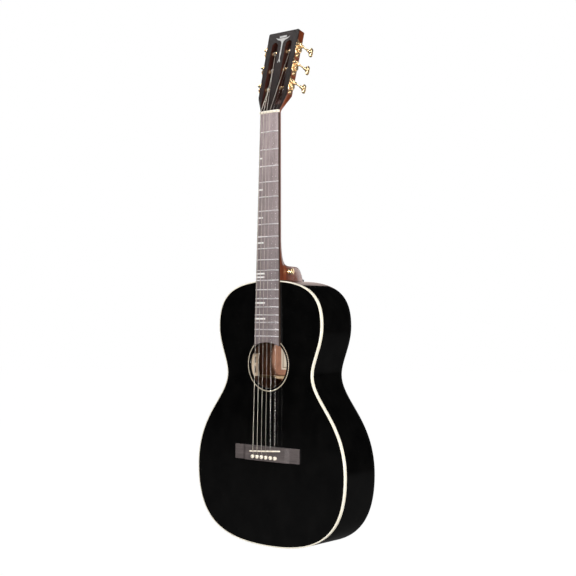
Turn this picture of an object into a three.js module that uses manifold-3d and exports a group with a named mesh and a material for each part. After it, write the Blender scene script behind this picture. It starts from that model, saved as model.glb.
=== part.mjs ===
// Twelve-fret, slot-head acoustic guitar in the small "00" size, as separate named pieces.
//
// Every piece is laid out in one frame, in millimetres: X runs to the treble side, Y runs from
// the front to the back, and Z runs up the neck. Z = 0 is the tail of the body and Y = 0 is the
// front face of the soundboard. The whole group is then shifted so that its origin is where a
// hanger's yoke carries the headstock, just above the nut.

import * as THREE from 'three';
import { mergeVertices } from 'three/addons/utils/BufferGeometryUtils.js';
import Module from 'manifold-3d';

const wasm = await Module();
wasm.setup();

// ---------------------------------------------------------------- driving dimensions

const GLUE = 0.1; // gap left at every glued or seated face

// scale and frets
const SCALE_LENGTH = 632;
const NUT_Z = 814;
const BODY_FRET = 12;

// body outline: half widths and heights of the bouts and the waist
const BODY_LENGTH = 498;
const LOWER = { half: 181, z: 141 };
const WAIST = { half: 104.5, z: 322 };
const UPPER = { half: 126.7, z: 412 };
const OUTLINE_STEPS = 9; // facets per outline curve

// body depth and plates
const DEPTH_TAIL = 92;
const DEPTH_NECK = 91;
const TOP_THICK = 3;
const BACK_THICK = 3;
const RIM_THICK = 2.2;
const BINDING_DEPTH = 6;
const LINING_WIDTH = 5.6;
const LINING_DEPTH = 14;
const NECK_BLOCK = { half: 35, low: 452 };
const TAIL_BLOCK = { half: 42, high: 24 };
const CROSS = { z: 254, lean: THREE.MathUtils.degToRad(48), width: 8, height: 14 };
const WAIST_STRIP = { x: -96.5, thick: 2.3, z: 335, half: 22.2, bow: 3, front: 60.5, back: 80 };

// soundhole and its ring inlay
const HOLE = { z: 340, r: 44.7 };
const RING = { inner: 48.9, outer: 50.9, depth: 1.2 };

// fretboard and neck
const NUT_HALF = 22.45;
const JOINT_HALF = 28.2;
const BOARD_THICK = 5.3;
const BOARD_Y_NUT = -1.7; // playing surface at the nut
const BOARD_Y_JOINT = -5.4; // playing surface at the body joint
const BOARD_END = { corner: 374.5, middle: 381.5 };
const NECK_DEPTH_NUT = 15.2;
const NECK_DEPTH_HEEL = 17.2;
const HEEL = { top: 525.3, shelf: 63, back: 92, halfEnd: 8.5 };
const TENON = { half: 10.8, from: 478, deep: 64 };
const NUT = { thick: 4.9, top: -3.5 };

// headstock, in its own tilted frame: u runs up its face, b runs back from the face
const HEAD_Z = 818;
const HEAD_TILT = THREE.MathUtils.degToRad(14.75);
const HEAD = { length: 165, topHalf: 37.5, shoulderHalf: 35, shoulderU: 30, thick: 17 };
const VENEER = 2;
const SLOT = { inner: 9.6, outer: 24.6, low: 22, high: 144, rampLow: 11, rampDeep: 7 };

// machine heads: a worm on the knob's shaft turns a gear on the string post
const POST_U = [48.8, 87.05, 124.2];
const POST = { b: 7.5, r: 3.2, innerX: 6 };
const GEAR = { teeth: 16, pitchR: 6, tipR: 6.28, rootR: 5.15, thick: 2.3 };
const WORM = { pitchR: 2.7, height: 0.5, length: 9.6 };
const WORM_RISE = GEAR.pitchR + WORM.pitchR; // worm axis above the post
const PLATE = { thick: 1, gearOut: 4.6 };
const LUG = { thick: 1.9, half: 3.2, centre: 6.4, out: 7.4 };
const SHAFT_R = 1.6;
const KNOB = { at: 32.5, alongShaft: 5.6, tall: 9.3, thick: 3.1 };

// bridge, saddle and pins
const BRIDGE = { half: 78.3, low: 159.4, high: 187, wing: 4.4, crown: 9, crownHalf: 47 };
const SADDLE = { half: 38.5, thick: 2.8, z: 178.3, top: -12, bottom: -4, slant: 3.5 };
const PIN = { z: 167, r: 2.4, headR: 3.7, holeR: 2.75, spacing: 11 };
const STRING_SLOT = { half: 1, reach: 4.8 };

// strings, bass to treble
const STRINGS = [
  { name: 'low_e', r: 0.675, post: 0, postX: -16.5 },
  { name: 'a', r: 0.535, post: 1, postX: -15 },
  { name: 'd', r: 0.405, post: 2, postX: -17 },
  { name: 'g', r: 0.305, post: 2, postX: 19.5 },
  { name: 'b', r: 0.205, post: 1, postX: 20 },
  { name: 'high_e', r: 0.15, post: 0, postX: 21.5 },
];
const NUT_SPACING = 7.6;
const SADDLE_SPACING = 10.8;

// strap buttons: the low end pin in the tail block, and the button on the heel's treble cheek
const END_PIN = { y: 46, stemR: 4.6, headR: 7.2, out: 4 };
const HEEL_BUTTON = { x: 26.8, y: 27, z: 515, turn: THREE.MathUtils.degToRad(100), headR: 6.2, out: 8.5 };

// origin: where a hanger's yoke holds the guitar under its headstock
const HANGER = { y: 10, z: 836 };

// ---------------------------------------------------------------- materials

function finish(color, roughness, metalness = 0) {
  return new THREE.MeshStandardMaterial({ color, roughness, metalness });
}

const BLACK_LACQUER = finish(0x060606, 0.08);
const MAHOGANY = finish(0x5a2312, 0.22);
const INSIDE_WOOD = finish(0xa06a48, 0.75);
const SPRUCE = finish(0xd8b883, 0.7);
const ROSEWOOD = finish(0x3b3033, 0.45);
const IVORY = finish(0xe9e0cc, 0.35);
const GOLD = finish(0xd0a860, 0.22, 1);
const BRONZE = finish(0xc2a078, 0.3, 1);
const STEEL = finish(0xd6d2cc, 0.25, 1);

// ---------------------------------------------------------------- solid helpers

function toSolid(geometry) {
  const bare = geometry.clone();
  bare.deleteAttribute('normal');
  bare.deleteAttribute('uv');
  const welded = mergeVertices(bare, 1e-4);
  return new wasm.Manifold(new wasm.Mesh({
    numProp: 3,
    vertProperties: new Float32Array(welded.getAttribute('position').array),
    triVerts: new Uint32Array(welded.getIndex().array),
  }));
}

function toGeometry(solid) {
  const mesh = solid.getMesh();
  const geometry = new THREE.BufferGeometry();
  geometry.setAttribute('position', new THREE.BufferAttribute(mesh.vertProperties, 3));
  geometry.setIndex(new THREE.BufferAttribute(mesh.triVerts, 1));
  geometry.computeVertexNormals();
  return geometry;
}

function join(...geometries) {
  return toGeometry(geometries.map(toSolid).reduce((sum, solid) => sum.add(solid)));
}

function cut(body, ...tools) {
  return toGeometry(tools.map(toSolid).reduce((rest, tool) => rest.subtract(tool), toSolid(body)));
}

function keep(body, region) {
  return toGeometry(toSolid(body).intersect(toSolid(region)));
}

// Move every vertex to where place(x, y, z) says.
function warp(geometry, place) {
  const position = geometry.getAttribute('position');
  for (let i = 0; i < position.count; i += 1) {
    position.setXYZ(i, ...place(position.getX(i), position.getY(i), position.getZ(i)));
  }
  geometry.computeVertexNormals();
  return geometry;
}

function box(x0, x1, y0, y1, z0, z1) {
  const geometry = new THREE.BoxGeometry(x1 - x0, y1 - y0, z1 - z0);
  return geometry.translate((x0 + x1) / 2, (y0 + y1) / 2, (z0 + z1) / 2);
}

function prism(points, depth = 1, steps = 1, holes = []) {
  const shape = new THREE.Shape(points);
  shape.holes = holes.map((hole) => new THREE.Path(hole));
  return new THREE.ExtrudeGeometry(shape, { depth, steps, bevelEnabled: false });
}

// A plate whose outline is drawn in X and Z, between a front and a back surface.
function plate(points, front, back, holes = []) {
  return warp(prism(points, 1, 1, holes), (x, z, s) => [x, back(z) + (front(z) - back(z)) * s, z]);
}

function flatPlate(points, frontY, backY, holes = []) {
  return plate(points, () => frontY, () => backY, holes);
}

function rectangle(x0, x1, z0, z1) {
  return [[x0, z0], [x1, z0], [x1, z1], [x0, z1]].map(([x, z]) => new THREE.Vector2(x, z));
}

function circle(x, z, r, sides) {
  return Array.from({ length: sides }, (_, i) => {
    const angle = (2 * Math.PI * i) / sides;
    return new THREE.Vector2(x + r * Math.cos(angle), z + r * Math.sin(angle));
  });
}

function rodAlongY(r, y0, y1, sides = 10) {
  return new THREE.CylinderGeometry(r, r, y1 - y0, sides).translate(0, (y0 + y1) / 2, 0);
}

function rodAlongX(r, x0, x1, sides = 14) {
  const rod = new THREE.CylinderGeometry(r, r, x1 - x0, sides);
  return rod.rotateZ(Math.PI / 2).translate((x0 + x1) / 2, 0, 0);
}

// A turned piece on the Y axis; the profile lists [radius, y] from its highest y to its lowest.
function turned(profile, sides = 16) {
  const points = profile.map(([r, y]) => new THREE.Vector2(r, y)).reverse();
  return new THREE.LatheGeometry(points, sides);
}

const mix = THREE.MathUtils.lerp;
const smooth = THREE.MathUtils.smoothstep;

// ---------------------------------------------------------------- shared shapes

function fretZ(fret) {
  return NUT_Z - SCALE_LENGTH * (1 - 2 ** (-fret / 12));
}

const JOINT_Z = fretZ(BODY_FRET);
const backY = (z) => mix(DEPTH_TAIL, DEPTH_NECK, z / BODY_LENGTH);
const boardHalf = (z) => mix(NUT_HALF, JOINT_HALF, (NUT_Z - z) / (NUT_Z - JOINT_Z));
const boardY = (z) => mix(BOARD_Y_NUT, BOARD_Y_JOINT, (NUT_Z - z) / (NUT_Z - JOINT_Z));
const neckTopY = (z) => boardY(z) + BOARD_THICK + GLUE;

function bezier(...numbers) {
  const [ax, az, bx, bz, cx, cz, dx, dz] = numbers;
  return new THREE.CubicBezierCurve(
    new THREE.Vector2(ax, az),
    new THREE.Vector2(bx, bz),
    new THREE.Vector2(cx, cz),
    new THREE.Vector2(dx, dz),
  );
}

// The treble half of the body outline, from the tail up to the neck.
const OUTLINE = [
  bezier(0, 0, 112, 0, LOWER.half, 29.5, LOWER.half, LOWER.z),
  bezier(LOWER.half, LOWER.z, LOWER.half, 242, WAIST.half, 273.5, WAIST.half, WAIST.z),
  bezier(WAIST.half, WAIST.z, WAIST.half, 347, UPPER.half, 376.5, UPPER.half, UPPER.z),
  bezier(UPPER.half, UPPER.z, UPPER.half, 461.5, 105.5, BODY_LENGTH, 0, BODY_LENGTH),
];

// The closed body outline, moved inwards by inset.
function rim(inset) {
  const treble = [];
  for (const curve of OUTLINE) {
    for (let i = 0; i < OUTLINE_STEPS; i += 1) {
      const point = curve.getPoint(i / OUTLINE_STEPS);
      const tangent = curve.getTangent(i / OUTLINE_STEPS);
      treble.push(new THREE.Vector2(point.x - tangent.y * inset, point.y + tangent.x * inset));
    }
  }
  treble.push(new THREE.Vector2(0, BODY_LENGTH - inset));
  const bass = treble.slice(1, -1).reverse().map((point) => new THREE.Vector2(-point.x, point.y));
  return [...treble, ...bass];
}

function halfWidthAt(z, inset) {
  const treble = rim(inset).slice(0, OUTLINE.length * OUTLINE_STEPS + 1);
  const i = treble.findIndex((point) => point.y >= z);
  const [low, high] = [treble[i - 1], treble[i]];
  return mix(low.x, high.x, (z - low.y) / (high.y - low.y));
}

// Points that sit on the pins: one x for each string.
const pinXs = STRINGS.map((_, i) => (i - 2.5) * PIN.spacing);

// The holes for the bridge pins, with the slots that the strings drop through.
function pinHoles() {
  return pinXs.flatMap((x) => [
    rodAlongY(PIN.holeR, -20, 20).translate(x, 0, PIN.z),
    box(x - STRING_SLOT.half, x + STRING_SLOT.half, -20, 20, PIN.z, PIN.z + STRING_SLOT.reach),
  ]);
}

// ---------------------------------------------------------------- body shell

const RIM_INSIDE = RIM_THICK + GLUE;
const LINING_INSIDE = RIM_INSIDE + LINING_WIDTH;
const topInside = TOP_THICK + GLUE;
const backInside = (z) => backY(z) - BACK_THICK - GLUE;

function soundboard() {
  const board = flatPlate(rim(RIM_INSIDE), 0, TOP_THICK, [circle(0, HOLE.z, HOLE.r, 36)]);
  const channel = flatPlate(
    circle(0, HOLE.z, RING.outer + GLUE, 36),
    -1,
    RING.depth + GLUE,
    [circle(0, HOLE.z, RING.inner - GLUE, 36)],
  );
  return cut(board, channel, ...pinHoles());
}

function soundholeRing() {
  return flatPlate(
    circle(0, HOLE.z, RING.outer, 36),
    0,
    RING.depth,
    [circle(0, HOLE.z, RING.inner, 36)],
  );
}

function backPlate() {
  return plate(rim(RIM_INSIDE), (z) => backY(z) - BACK_THICK, backY);
}

function topBinding() {
  return flatPlate(rim(0), 0, BINDING_DEPTH, [rim(RIM_THICK)]);
}

function backBinding() {
  return plate(rim(0), (z) => backY(z) - BINDING_DEPTH, backY, [rim(RIM_THICK)]);
}

// One bent side, from the tail seam to the neck's mortise.
function side(sign) {
  const front = () => BINDING_DEPTH + GLUE;
  const back = (z) => backY(z) - BINDING_DEPTH - GLUE;
  const hoop = plate(rim(0), front, back, [rim(RIM_THICK)]);
  const reach = LOWER.half + 10;
  const seam = GLUE / 2;
  const half = sign > 0 ? box(seam, reach, 0, 100, -10, 510) : box(-reach, -seam, 0, 100, -10, 510);
  return cut(keep(hoop, half), mortise(), endPinHole());
}

function mortise() {
  const half = TENON.half + GLUE;
  return box(-half, half, -1, TENON.deep + GLUE, TENON.from - GLUE, BODY_LENGTH + 5);
}

// The lining is one strip from the neck block, past the tail, back to the neck block.
function lining(front, back) {
  const hoop = plate(rim(RIM_INSIDE + GLUE), front, back, [rim(LINING_INSIDE)]);
  const half = NECK_BLOCK.half + GLUE;
  return cut(hoop, box(-half, half, -1, 100, NECK_BLOCK.low, BODY_LENGTH + 5));
}

function topLining() {
  return lining(() => topInside, () => topInside + LINING_DEPTH);
}

function backLining() {
  return lining((z) => backInside(z) - LINING_DEPTH, backInside);
}

// A block between the plates that follows the rim at the neck or at the tail.
function block(half, low, high, inset) {
  const filled = plate(rim(inset), () => topInside, backInside);
  return keep(filled, box(-half, half, 0, 100, low, high));
}

function neckBlock() {
  return cut(block(NECK_BLOCK.half, NECK_BLOCK.low, BODY_LENGTH, RIM_INSIDE), mortise());
}

function tailBlock() {
  const solid = block(TAIL_BLOCK.half, 0, TAIL_BLOCK.high, LINING_INSIDE + GLUE);
  return cut(solid, endPinHole());
}

// ---------------------------------------------------------------- braces

// A brace with tapered ends, lying on a plate: it runs from one end to the other in X and Z.
function brace(from, to, width, height) {
  const length = Math.hypot(to[0] - from[0], to[1] - from[1]);
  const end = Math.min(28, length / 4);
  const profile = [[0, 0], [length, 0], [length, 3], [length - end, height], [end, height], [0, 3]];
  const bar = prism(profile.map(([x, y]) => new THREE.Vector2(x, y)), width);
  bar.translate(0, 0, -width / 2);
  bar.rotateY(-Math.atan2(to[1] - from[1], to[0] - from[0]));
  return bar.translate(from[0], 0, from[1]);
}

function topBrace(from, to, width, height) {
  return brace(from, to, width, height).translate(0, topInside, 0);
}

// The two legs of the X cross below the soundhole, halved into each other and glued.
function crossBrace() {
  const along = (distance, sign) => [
    sign * distance * Math.sin(CROSS.lean),
    CROSS.z + distance * Math.cos(CROSS.lean),
  ];
  const leg = (sign) => topBrace(along(-205, sign), along(118, sign), CROSS.width, CROSS.height);
  return join(leg(1), leg(-1));
}

function backBrace(z, width, height) {
  const widths = [z - width / 2, z + width / 2].map((edge) => halfWidthAt(edge, LINING_INSIDE + 1));
  const half = Math.min(...widths);
  const bar = brace([-half, z], [half, z], width, height);
  bar.rotateZ(Math.PI);
  return bar.translate(0, backInside(z + width / 2) - GLUE, 0);
}

// The bowed, slotted strip that stiffens the bass side at the waist, glued to the back lining.
function waistBrace() {
  const { x, thick, z, half, bow, front, back } = WAIST_STRIP;
  const outer = Array.from({ length: 9 }, (_, i) => {
    const share = i / 4 - 1;
    return new THREE.Vector2(x + bow * share ** 2, z + half * share);
  });
  const inner = outer.map((point) => new THREE.Vector2(point.x + thick, point.y)).reverse();
  const strip = flatPlate([...outer, ...inner], front, back);
  const slots = [-9.5, 9.5].map((rise) => box(-110, -80, 68.5, 73, z + rise - 6.3, z + rise + 6.3));
  return cut(strip, ...slots);
}

// ---------------------------------------------------------------- neck

// How far back the neck and heel reach at height z.
function neckBackY(z) {
  const shaft = mix(NECK_DEPTH_HEEL, NECK_DEPTH_NUT, (z - 540) / (NUT_Z - 540));
  if (z < HEEL.top) {
    const drop = (HEEL.top - z) / (HEEL.top - JOINT_Z);
    return HEEL.shelf + (HEEL.back - HEEL.shelf) * drop ** 0.29;
  }
  const fillet = -6.9 * Math.log(Math.min(1, (z - HEEL.top + 0.3) / 45));
  return neckTopY(z) + shaft + fillet;
}

// Half width of the neck's section, as a share of the fretboard's, at a share f of its depth.
function neckSection(f, z) {
  const shaft = Math.max(0.06, Math.sqrt(1 - f ** 1.75));
  const heel = Math.min(1, mix(HEEL.halfEnd / JOINT_HALF, 1.1, (1 - f) ** 0.58));
  return mix(heel, shaft, smooth(z, HEEL.top + 0.7, HEEL.top + 37));
}

function neckShaft() {
  const stations = [
    JOINT_Z + GLUE, 504, 510, 515, 519, 522.5, 524.5, 525.2,
    525.5, 526.6, 529, 533, 539, 547, 557, 570, 650, 822,
  ];
  const steps = stations.length - 1;
  const ring = 7;
  const outline = [];
  for (let i = 0; i <= ring; i += 1) {
    outline.push(new THREE.Vector2(1, i / ring));
  }
  for (let i = ring; i >= 0; i -= 1) {
    outline.push(new THREE.Vector2(-1, i / ring));
  }
  return warp(prism(outline, 1, steps), (sign, f, s) => {
    const z = stations[Math.round(s * steps)];
    const x = sign * boardHalf(z) * neckSection(f, z);
    return [x, mix(neckTopY(z), neckBackY(z), f), z];
  });
}

// Move a geometry from the headstock's tilted frame (x, b, u) into the guitar's frame.
function ontoHead(geometry) {
  return geometry.rotateX(-HEAD_TILT).translate(0, 0, HEAD_Z);
}

function headOutline(low) {
  const corner = 2.5;
  const right = [
    [NUT_HALF + 0.2, low],
    [NUT_HALF + 1, 3],
    [HEAD.shoulderHalf - 1.2, HEAD.shoulderU - 3],
    [HEAD.shoulderHalf, HEAD.shoulderU + 2],
    [HEAD.topHalf, HEAD.length - corner],
    [HEAD.topHalf - corner, HEAD.length],
  ];
  const left = right.map(([x, u]) => [-x, u]).reverse();
  return [...right, ...left].map(([x, u]) => new THREE.Vector2(x, u));
}

// A slot with round ends, drawn in x and u, on one side of the headstock.
function slotOutline(sign) {
  const centre = (sign * (SLOT.inner + SLOT.outer)) / 2;
  const r = (SLOT.outer - SLOT.inner) / 2;
  const arc = (u, start) => Array.from({ length: 9 }, (_, i) => {
    const angle = start + (Math.PI * i) / 8;
    return new THREE.Vector2(centre + r * Math.cos(angle), u + r * Math.sin(angle));
  });
  return [...arc(SLOT.high - r, 0), ...arc(SLOT.low + r, Math.PI)];
}

// The ramp that lets the strings run down into a slot at its nut end.
function slotRamp(sign) {
  const r = (SLOT.outer - SLOT.inner) / 2;
  const centre = (sign * (SLOT.inner + SLOT.outer)) / 2;
  const wedge = [[-1, SLOT.rampLow - 1.6], [SLOT.rampDeep, SLOT.low + r], [-1, SLOT.low + r]];
  const solid = prism(wedge.map(([b, u]) => new THREE.Vector2(b, u)), 2 * r);
  return warp(solid, (b, u, x) => [centre - r + x, b, u]);
}

const headHalf = (u) => mix(
  HEAD.shoulderHalf,
  HEAD.topHalf,
  (u - HEAD.shoulderU) / (HEAD.length - HEAD.shoulderU),
);
const SIDE_TAPER = Math.atan2(HEAD.topHalf - HEAD.shoulderHalf, HEAD.length - HEAD.shoulderU);

// Move a geometry from a machine head's frame into the headstock's frame. In a machine head's
// frame the post lies on the X axis and X = 0 is the side of the headstock.
function ontoSide(geometry, sign, u) {
  return geometry.rotateY(sign * SIDE_TAPER).translate(sign * headHalf(u), POST.b, u);
}

function headCuts() {
  const slots = [1, -1].map((sign) => flatPlate(slotOutline(sign), -5, HEAD.thick + 5));
  const ramps = [1, -1].map(slotRamp);
  const bores = [1, -1].flatMap((sign) => POST_U.map((u) => {
    const inner = -sign * (headHalf(u) - POST.innerX + 1);
    const outer = sign * 5;
    const bore = rodAlongX(POST.r + 0.7, Math.min(inner, outer), Math.max(inner, outer));
    return ontoSide(bore, sign, u);
  }));
  return [...slots, ...ramps, ...bores].map(ontoHead);
}

function neck() {
  const blade = ontoHead(flatPlate(headOutline(-4), VENEER, HEAD.thick));
  const tenonFront = BINDING_DEPTH + 2 * GLUE;
  const tenon = box(-TENON.half, TENON.half, tenonFront, TENON.deep, TENON.from, JOINT_Z + 2);
  const nutSeat = box(-40, 40, -20, neckTopY(NUT_Z), NUT_Z - 20, NUT_Z + NUT.thick + GLUE);
  return cut(join(neckShaft(), blade, tenon), ...headCuts(), nutSeat);
}

function headVeneer() {
  const start = (NUT.thick + NUT_Z - HEAD_Z + 2 * GLUE) / Math.cos(HEAD_TILT) + 0.6;
  const veneer = ontoHead(flatPlate(headOutline(start), 0, VENEER - GLUE));
  return cut(veneer, ...headCuts());
}

function fretboard() {
  const arc = Array.from({ length: 13 }, (_, i) => {
    const share = i / 6 - 1;
    const x = share * boardHalf(BOARD_END.corner);
    return new THREE.Vector2(x, mix(BOARD_END.middle, BOARD_END.corner, share ** 2));
  });
  const top = NUT_Z - GLUE;
  const outline = [
    ...arc,
    new THREE.Vector2(boardHalf(top), top),
    new THREE.Vector2(-boardHalf(top), top),
  ];
  const board = plate(outline, boardY, () => 9);
  const below = [
    [-GLUE, 300],
    [-GLUE, JOINT_Z],
    [neckTopY(NUT_Z + 10) - GLUE, NUT_Z + 10],
    [20, NUT_Z + 10],
    [20, 300],
  ];
  const under = prism(below.map(([y, z]) => new THREE.Vector2(y, z)), 80);
  return cut(board, warp(under, (y, z, x) => [x - 40, y, z]));
}

function nut() {
  const seat = neckTopY(NUT_Z) - GLUE;
  return box(-NUT_HALF, NUT_HALF, NUT.top, seat, NUT_Z + GLUE / 2, NUT_Z + NUT.thick);
}

function heelCap() {
  const half = HEEL.halfEnd + 0.6;
  const nose = Array.from({ length: 9 }, (_, i) => {
    const angle = (Math.PI * i) / 8;
    return new THREE.Vector2(half * Math.cos(angle), JOINT_Z + 2.5 + 3 * Math.sin(angle));
  });
  const foot = [new THREE.Vector2(-half, JOINT_Z + GLUE), new THREE.Vector2(half, JOINT_Z + GLUE)];
  return flatPlate([...nose, ...foot], HEEL.back + GLUE, HEEL.back + 2.2);
}

// ---------------------------------------------------------------- bridge

function bridgeBody() {
  const { half, wing, crown, crownHalf } = BRIDGE;
  const scoop = 9;
  const right = [[half, 0], [half, -wing]];
  for (let i = 0; i <= 4; i += 1) {
    const lift = (crown - wing) * Math.sin((Math.PI / 8) * i) ** 2;
    right.push([crownHalf + scoop * (1 - i / 4), -wing - lift]);
  }
  const left = right.map(([x, y]) => [-x, y]).reverse();
  const points = [...right, ...left].map(([x, y]) => new THREE.Vector2(x, y));
  return prism(points, BRIDGE.high - BRIDGE.low).translate(0, -GLUE, BRIDGE.low);
}

function saddleBlank(slack) {
  const half = SADDLE.half + slack;
  const thick = SADDLE.thick / 2 + slack;
  const blank = box(-half, half, SADDLE.top - slack * 50, SADDLE.bottom + slack, -thick, thick);
  blank.rotateY(-THREE.MathUtils.degToRad(SADDLE.slant));
  return blank.translate(0, 0, SADDLE.z);
}

function bridge() {
  return cut(bridgeBody(), saddleBlank(GLUE), ...pinHoles());
}

function bridgePlate() {
  const outline = rectangle(-64, 64, BRIDGE.low - 6, BRIDGE.high + 2);
  return cut(flatPlate(outline, topInside, topInside + 2.5), ...pinHoles());
}

function bridgePin() {
  const face = -BRIDGE.crown - 0.4;
  return turned([
    [0, 14],
    [PIN.r - 0.5, 13],
    [PIN.r, face],
    [2.9, face],
    [3.3, face - 1],
    [PIN.headR, face - 2.6],
    [3.2, face - 4.4],
    [1.8, face - 5.4],
    [0, face - 5.6],
  ], 12);
}

// ---------------------------------------------------------------- buttons

function endPinHole() {
  return rodAlongY(END_PIN.stemR + 0.3, -40, 20).rotateX(Math.PI / 2).translate(0, END_PIN.y, 0);
}

// A strap button turned on the Y axis, its seat at Y = 0 and its outer face at -Y.
function strapButton(headR, neckR, out, stemR, stemLength) {
  return turned([
    [0, stemLength],
    [stemR, stemLength],
    [stemR, 0],
    [headR * 0.8, 0],
    [neckR, -out * 0.35],
    [neckR, -out * 0.6],
    [headR, -out * 0.8],
    [headR * 0.9, -out],
    [0, -out],
  ]);
}

// ---------------------------------------------------------------- machine heads

function worm() {
  const lead = (2 * Math.PI * GEAR.pitchR) / GEAR.teeth;
  const blank = new THREE.CylinderGeometry(1, 1, WORM.length, 10, 20);
  return warp(blank, (x, y, z) => {
    const turn = (2 * Math.PI * y) / lead - Math.atan2(x, z) + Math.PI;
    const r = WORM.pitchR + WORM.height * Math.cos(turn);
    return [x * r, y, z * r];
  });
}

function gear() {
  const pitch = (2 * Math.PI) / GEAR.teeth;
  const points = [];
  for (let i = 0; i < GEAR.teeth; i += 1) {
    const middle = (i + 0.5) * pitch;
    const flank = [[-0.3, GEAR.rootR], [-0.085, GEAR.tipR], [0.085, GEAR.tipR], [0.3, GEAR.rootR]];
    for (const [share, r] of flank) {
      const angle = middle + share * pitch;
      points.push(new THREE.Vector2(r * Math.sin(angle), r * Math.cos(angle)));
    }
  }
  return warp(prism(points, GEAR.thick), (b, u, x) => [x - GEAR.thick / 2, b, u]);
}

function post(sign, u) {
  const inner = -sign * (headHalf(u) - POST.innerX);
  const outer = sign * PLATE.gearOut;
  const rod = rodAlongX(POST.r, Math.min(inner, outer), Math.max(inner, outer));
  return join(rod, gear().translate(outer, 0, 0));
}

// The worm, its shaft and the knob, turned on the Y axis through the machine head's worm.
function knob() {
  const shaft = rodAlongY(SHAFT_R, -LUG.centre - LUG.thick / 2 + 0.2, KNOB.at);
  const collar = rodAlongY(2.7, KNOB.at - 9, KNOB.at - 3);
  const bean = new THREE.SphereGeometry(1, 10, 7);
  bean.scale(KNOB.thick, KNOB.alongShaft, KNOB.tall).translate(0, KNOB.at, 0);
  return join(worm(), shaft, collar, bean);
}

// The side plate, with a forked top and two lugs that carry the worm's shaft.
function tunerPlate(sign) {
  const half = [
    [2.6, -15], [4.4, -13.2], [4.4, -9.5], [7.5, -6], [7.5, 12], [4.6, 13.6], [6.6, 18.6],
  ];
  const notch = [[0, 14.6]];
  const points = [...half, ...notch, ...half.map(([b, u]) => [-b, u]).reverse()];
  const base = prism(points.map(([b, u]) => new THREE.Vector2(b, u)), PLATE.thick);
  const start = sign > 0 ? GLUE : -GLUE - PLATE.thick;
  warp(base, (b, u, x) => [start + x, b, u]);
  const lugs = [-LUG.centre, LUG.centre].map((b) => {
    const [x0, x1] = [sign * (GLUE + PLATE.thick / 2), sign * LUG.out];
    const [b0, b1] = [b - LUG.thick / 2, b + LUG.thick / 2];
    const [u0, u1] = [WORM_RISE - LUG.half, WORM_RISE + LUG.half];
    return box(Math.min(x0, x1), Math.max(x0, x1), b0, b1, u0, u1);
  });
  const shaftBore = rodAlongY(SHAFT_R + 0.3, -20, 20).translate(sign * PLATE.gearOut, 0, WORM_RISE);
  return cut(join(base, ...lugs), rodAlongX(POST.r + 0.7, -5, 5), shaftBore);
}

// ---------------------------------------------------------------- strings

// A route with one ring of the tube at each of its points.
class Route extends THREE.Curve {
  constructor(points) {
    super();
    this.points = points;
  }

  index(t) {
    return Math.round(t * (this.points.length - 1));
  }

  getPoint(t) {
    return this.points[this.index(t)].clone();
  }

  getPointAt(t) {
    return this.getPoint(t);
  }

  getTangentAt(t) {
    const i = this.index(t);
    const before = this.points[Math.max(0, i - 1)];
    const after = this.points[Math.min(this.points.length - 1, i + 1)];
    return after.clone().sub(before).normalize();
  }
}

function tube(points, r) {
  return new THREE.ExtrudeGeometry(new THREE.Shape(circle(0, 0, r, 6)), {
    steps: points.length - 1,
    bevelEnabled: false,
    extrudePath: new Route(points),
  });
}

function headPoint(x, b, u) {
  return new THREE.Vector3(x, b, u)
    .applyAxisAngle(new THREE.Vector3(1, 0, 0), -HEAD_TILT)
    .add(new THREE.Vector3(0, 0, HEAD_Z));
}

function saddleZ(x) {
  return SADDLE.z + x * Math.tan(THREE.MathUtils.degToRad(SADDLE.slant));
}

// A string from its post, over the nut and the saddle, and down beside its pin.
function string(i) {
  const { r, post: row, postX } = STRINGS[i];
  const nutX = (i - 2.5) * NUT_SPACING;
  const saddleX = (i - 2.5) * SADDLE_SPACING;
  const clear = r + GLUE;
  const dropZ = PIN.z + STRING_SLOT.reach - clear - 0.1;
  const crownY = -BRIDGE.crown - GLUE;
  const saddleEdge = SADDLE.thick / 2 + 0.3;
  return tube([
    headPoint(postX, POST.b - POST.r - clear, POST_U[row]),
    new THREE.Vector3(nutX, NUT.top - clear, NUT_Z + NUT.thick - 0.5),
    new THREE.Vector3(nutX, NUT.top - clear, NUT_Z + 0.5),
    new THREE.Vector3(saddleX, SADDLE.top - clear, saddleZ(saddleX) + saddleEdge),
    new THREE.Vector3(saddleX, SADDLE.top - clear, saddleZ(saddleX) - saddleEdge),
    new THREE.Vector3(pinXs[i], crownY - clear - 0.4, dropZ + 0.4),
    new THREE.Vector3(pinXs[i], crownY + 0.2, dropZ),
    new THREE.Vector3(pinXs[i], topInside + 5, dropZ),
  ], r);
}

// ---------------------------------------------------------------- assembly

const guitar = new THREE.Group();
guitar.position.set(0, -HANGER.y, -HANGER.z);

function add(name, geometry, material, parent = guitar) {
  const mesh = new THREE.Mesh(geometry, material);
  mesh.name = name;
  parent.add(mesh);
  return mesh;
}

add('soundboard', soundboard(), BLACK_LACQUER);
add('soundhole_ring', soundholeRing(), IVORY);
add('back_plate', backPlate(), BLACK_LACQUER);
add('side_bass', side(-1), BLACK_LACQUER);
add('side_treble', side(1), BLACK_LACQUER);
add('top_binding', topBinding(), IVORY);
add('back_binding', backBinding(), BLACK_LACQUER);
add('top_lining', topLining(), INSIDE_WOOD);
add('back_lining', backLining(), INSIDE_WOOD);
add('neck_block', neckBlock(), INSIDE_WOOD);
add('tail_block', tailBlock(), INSIDE_WOOD);

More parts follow.
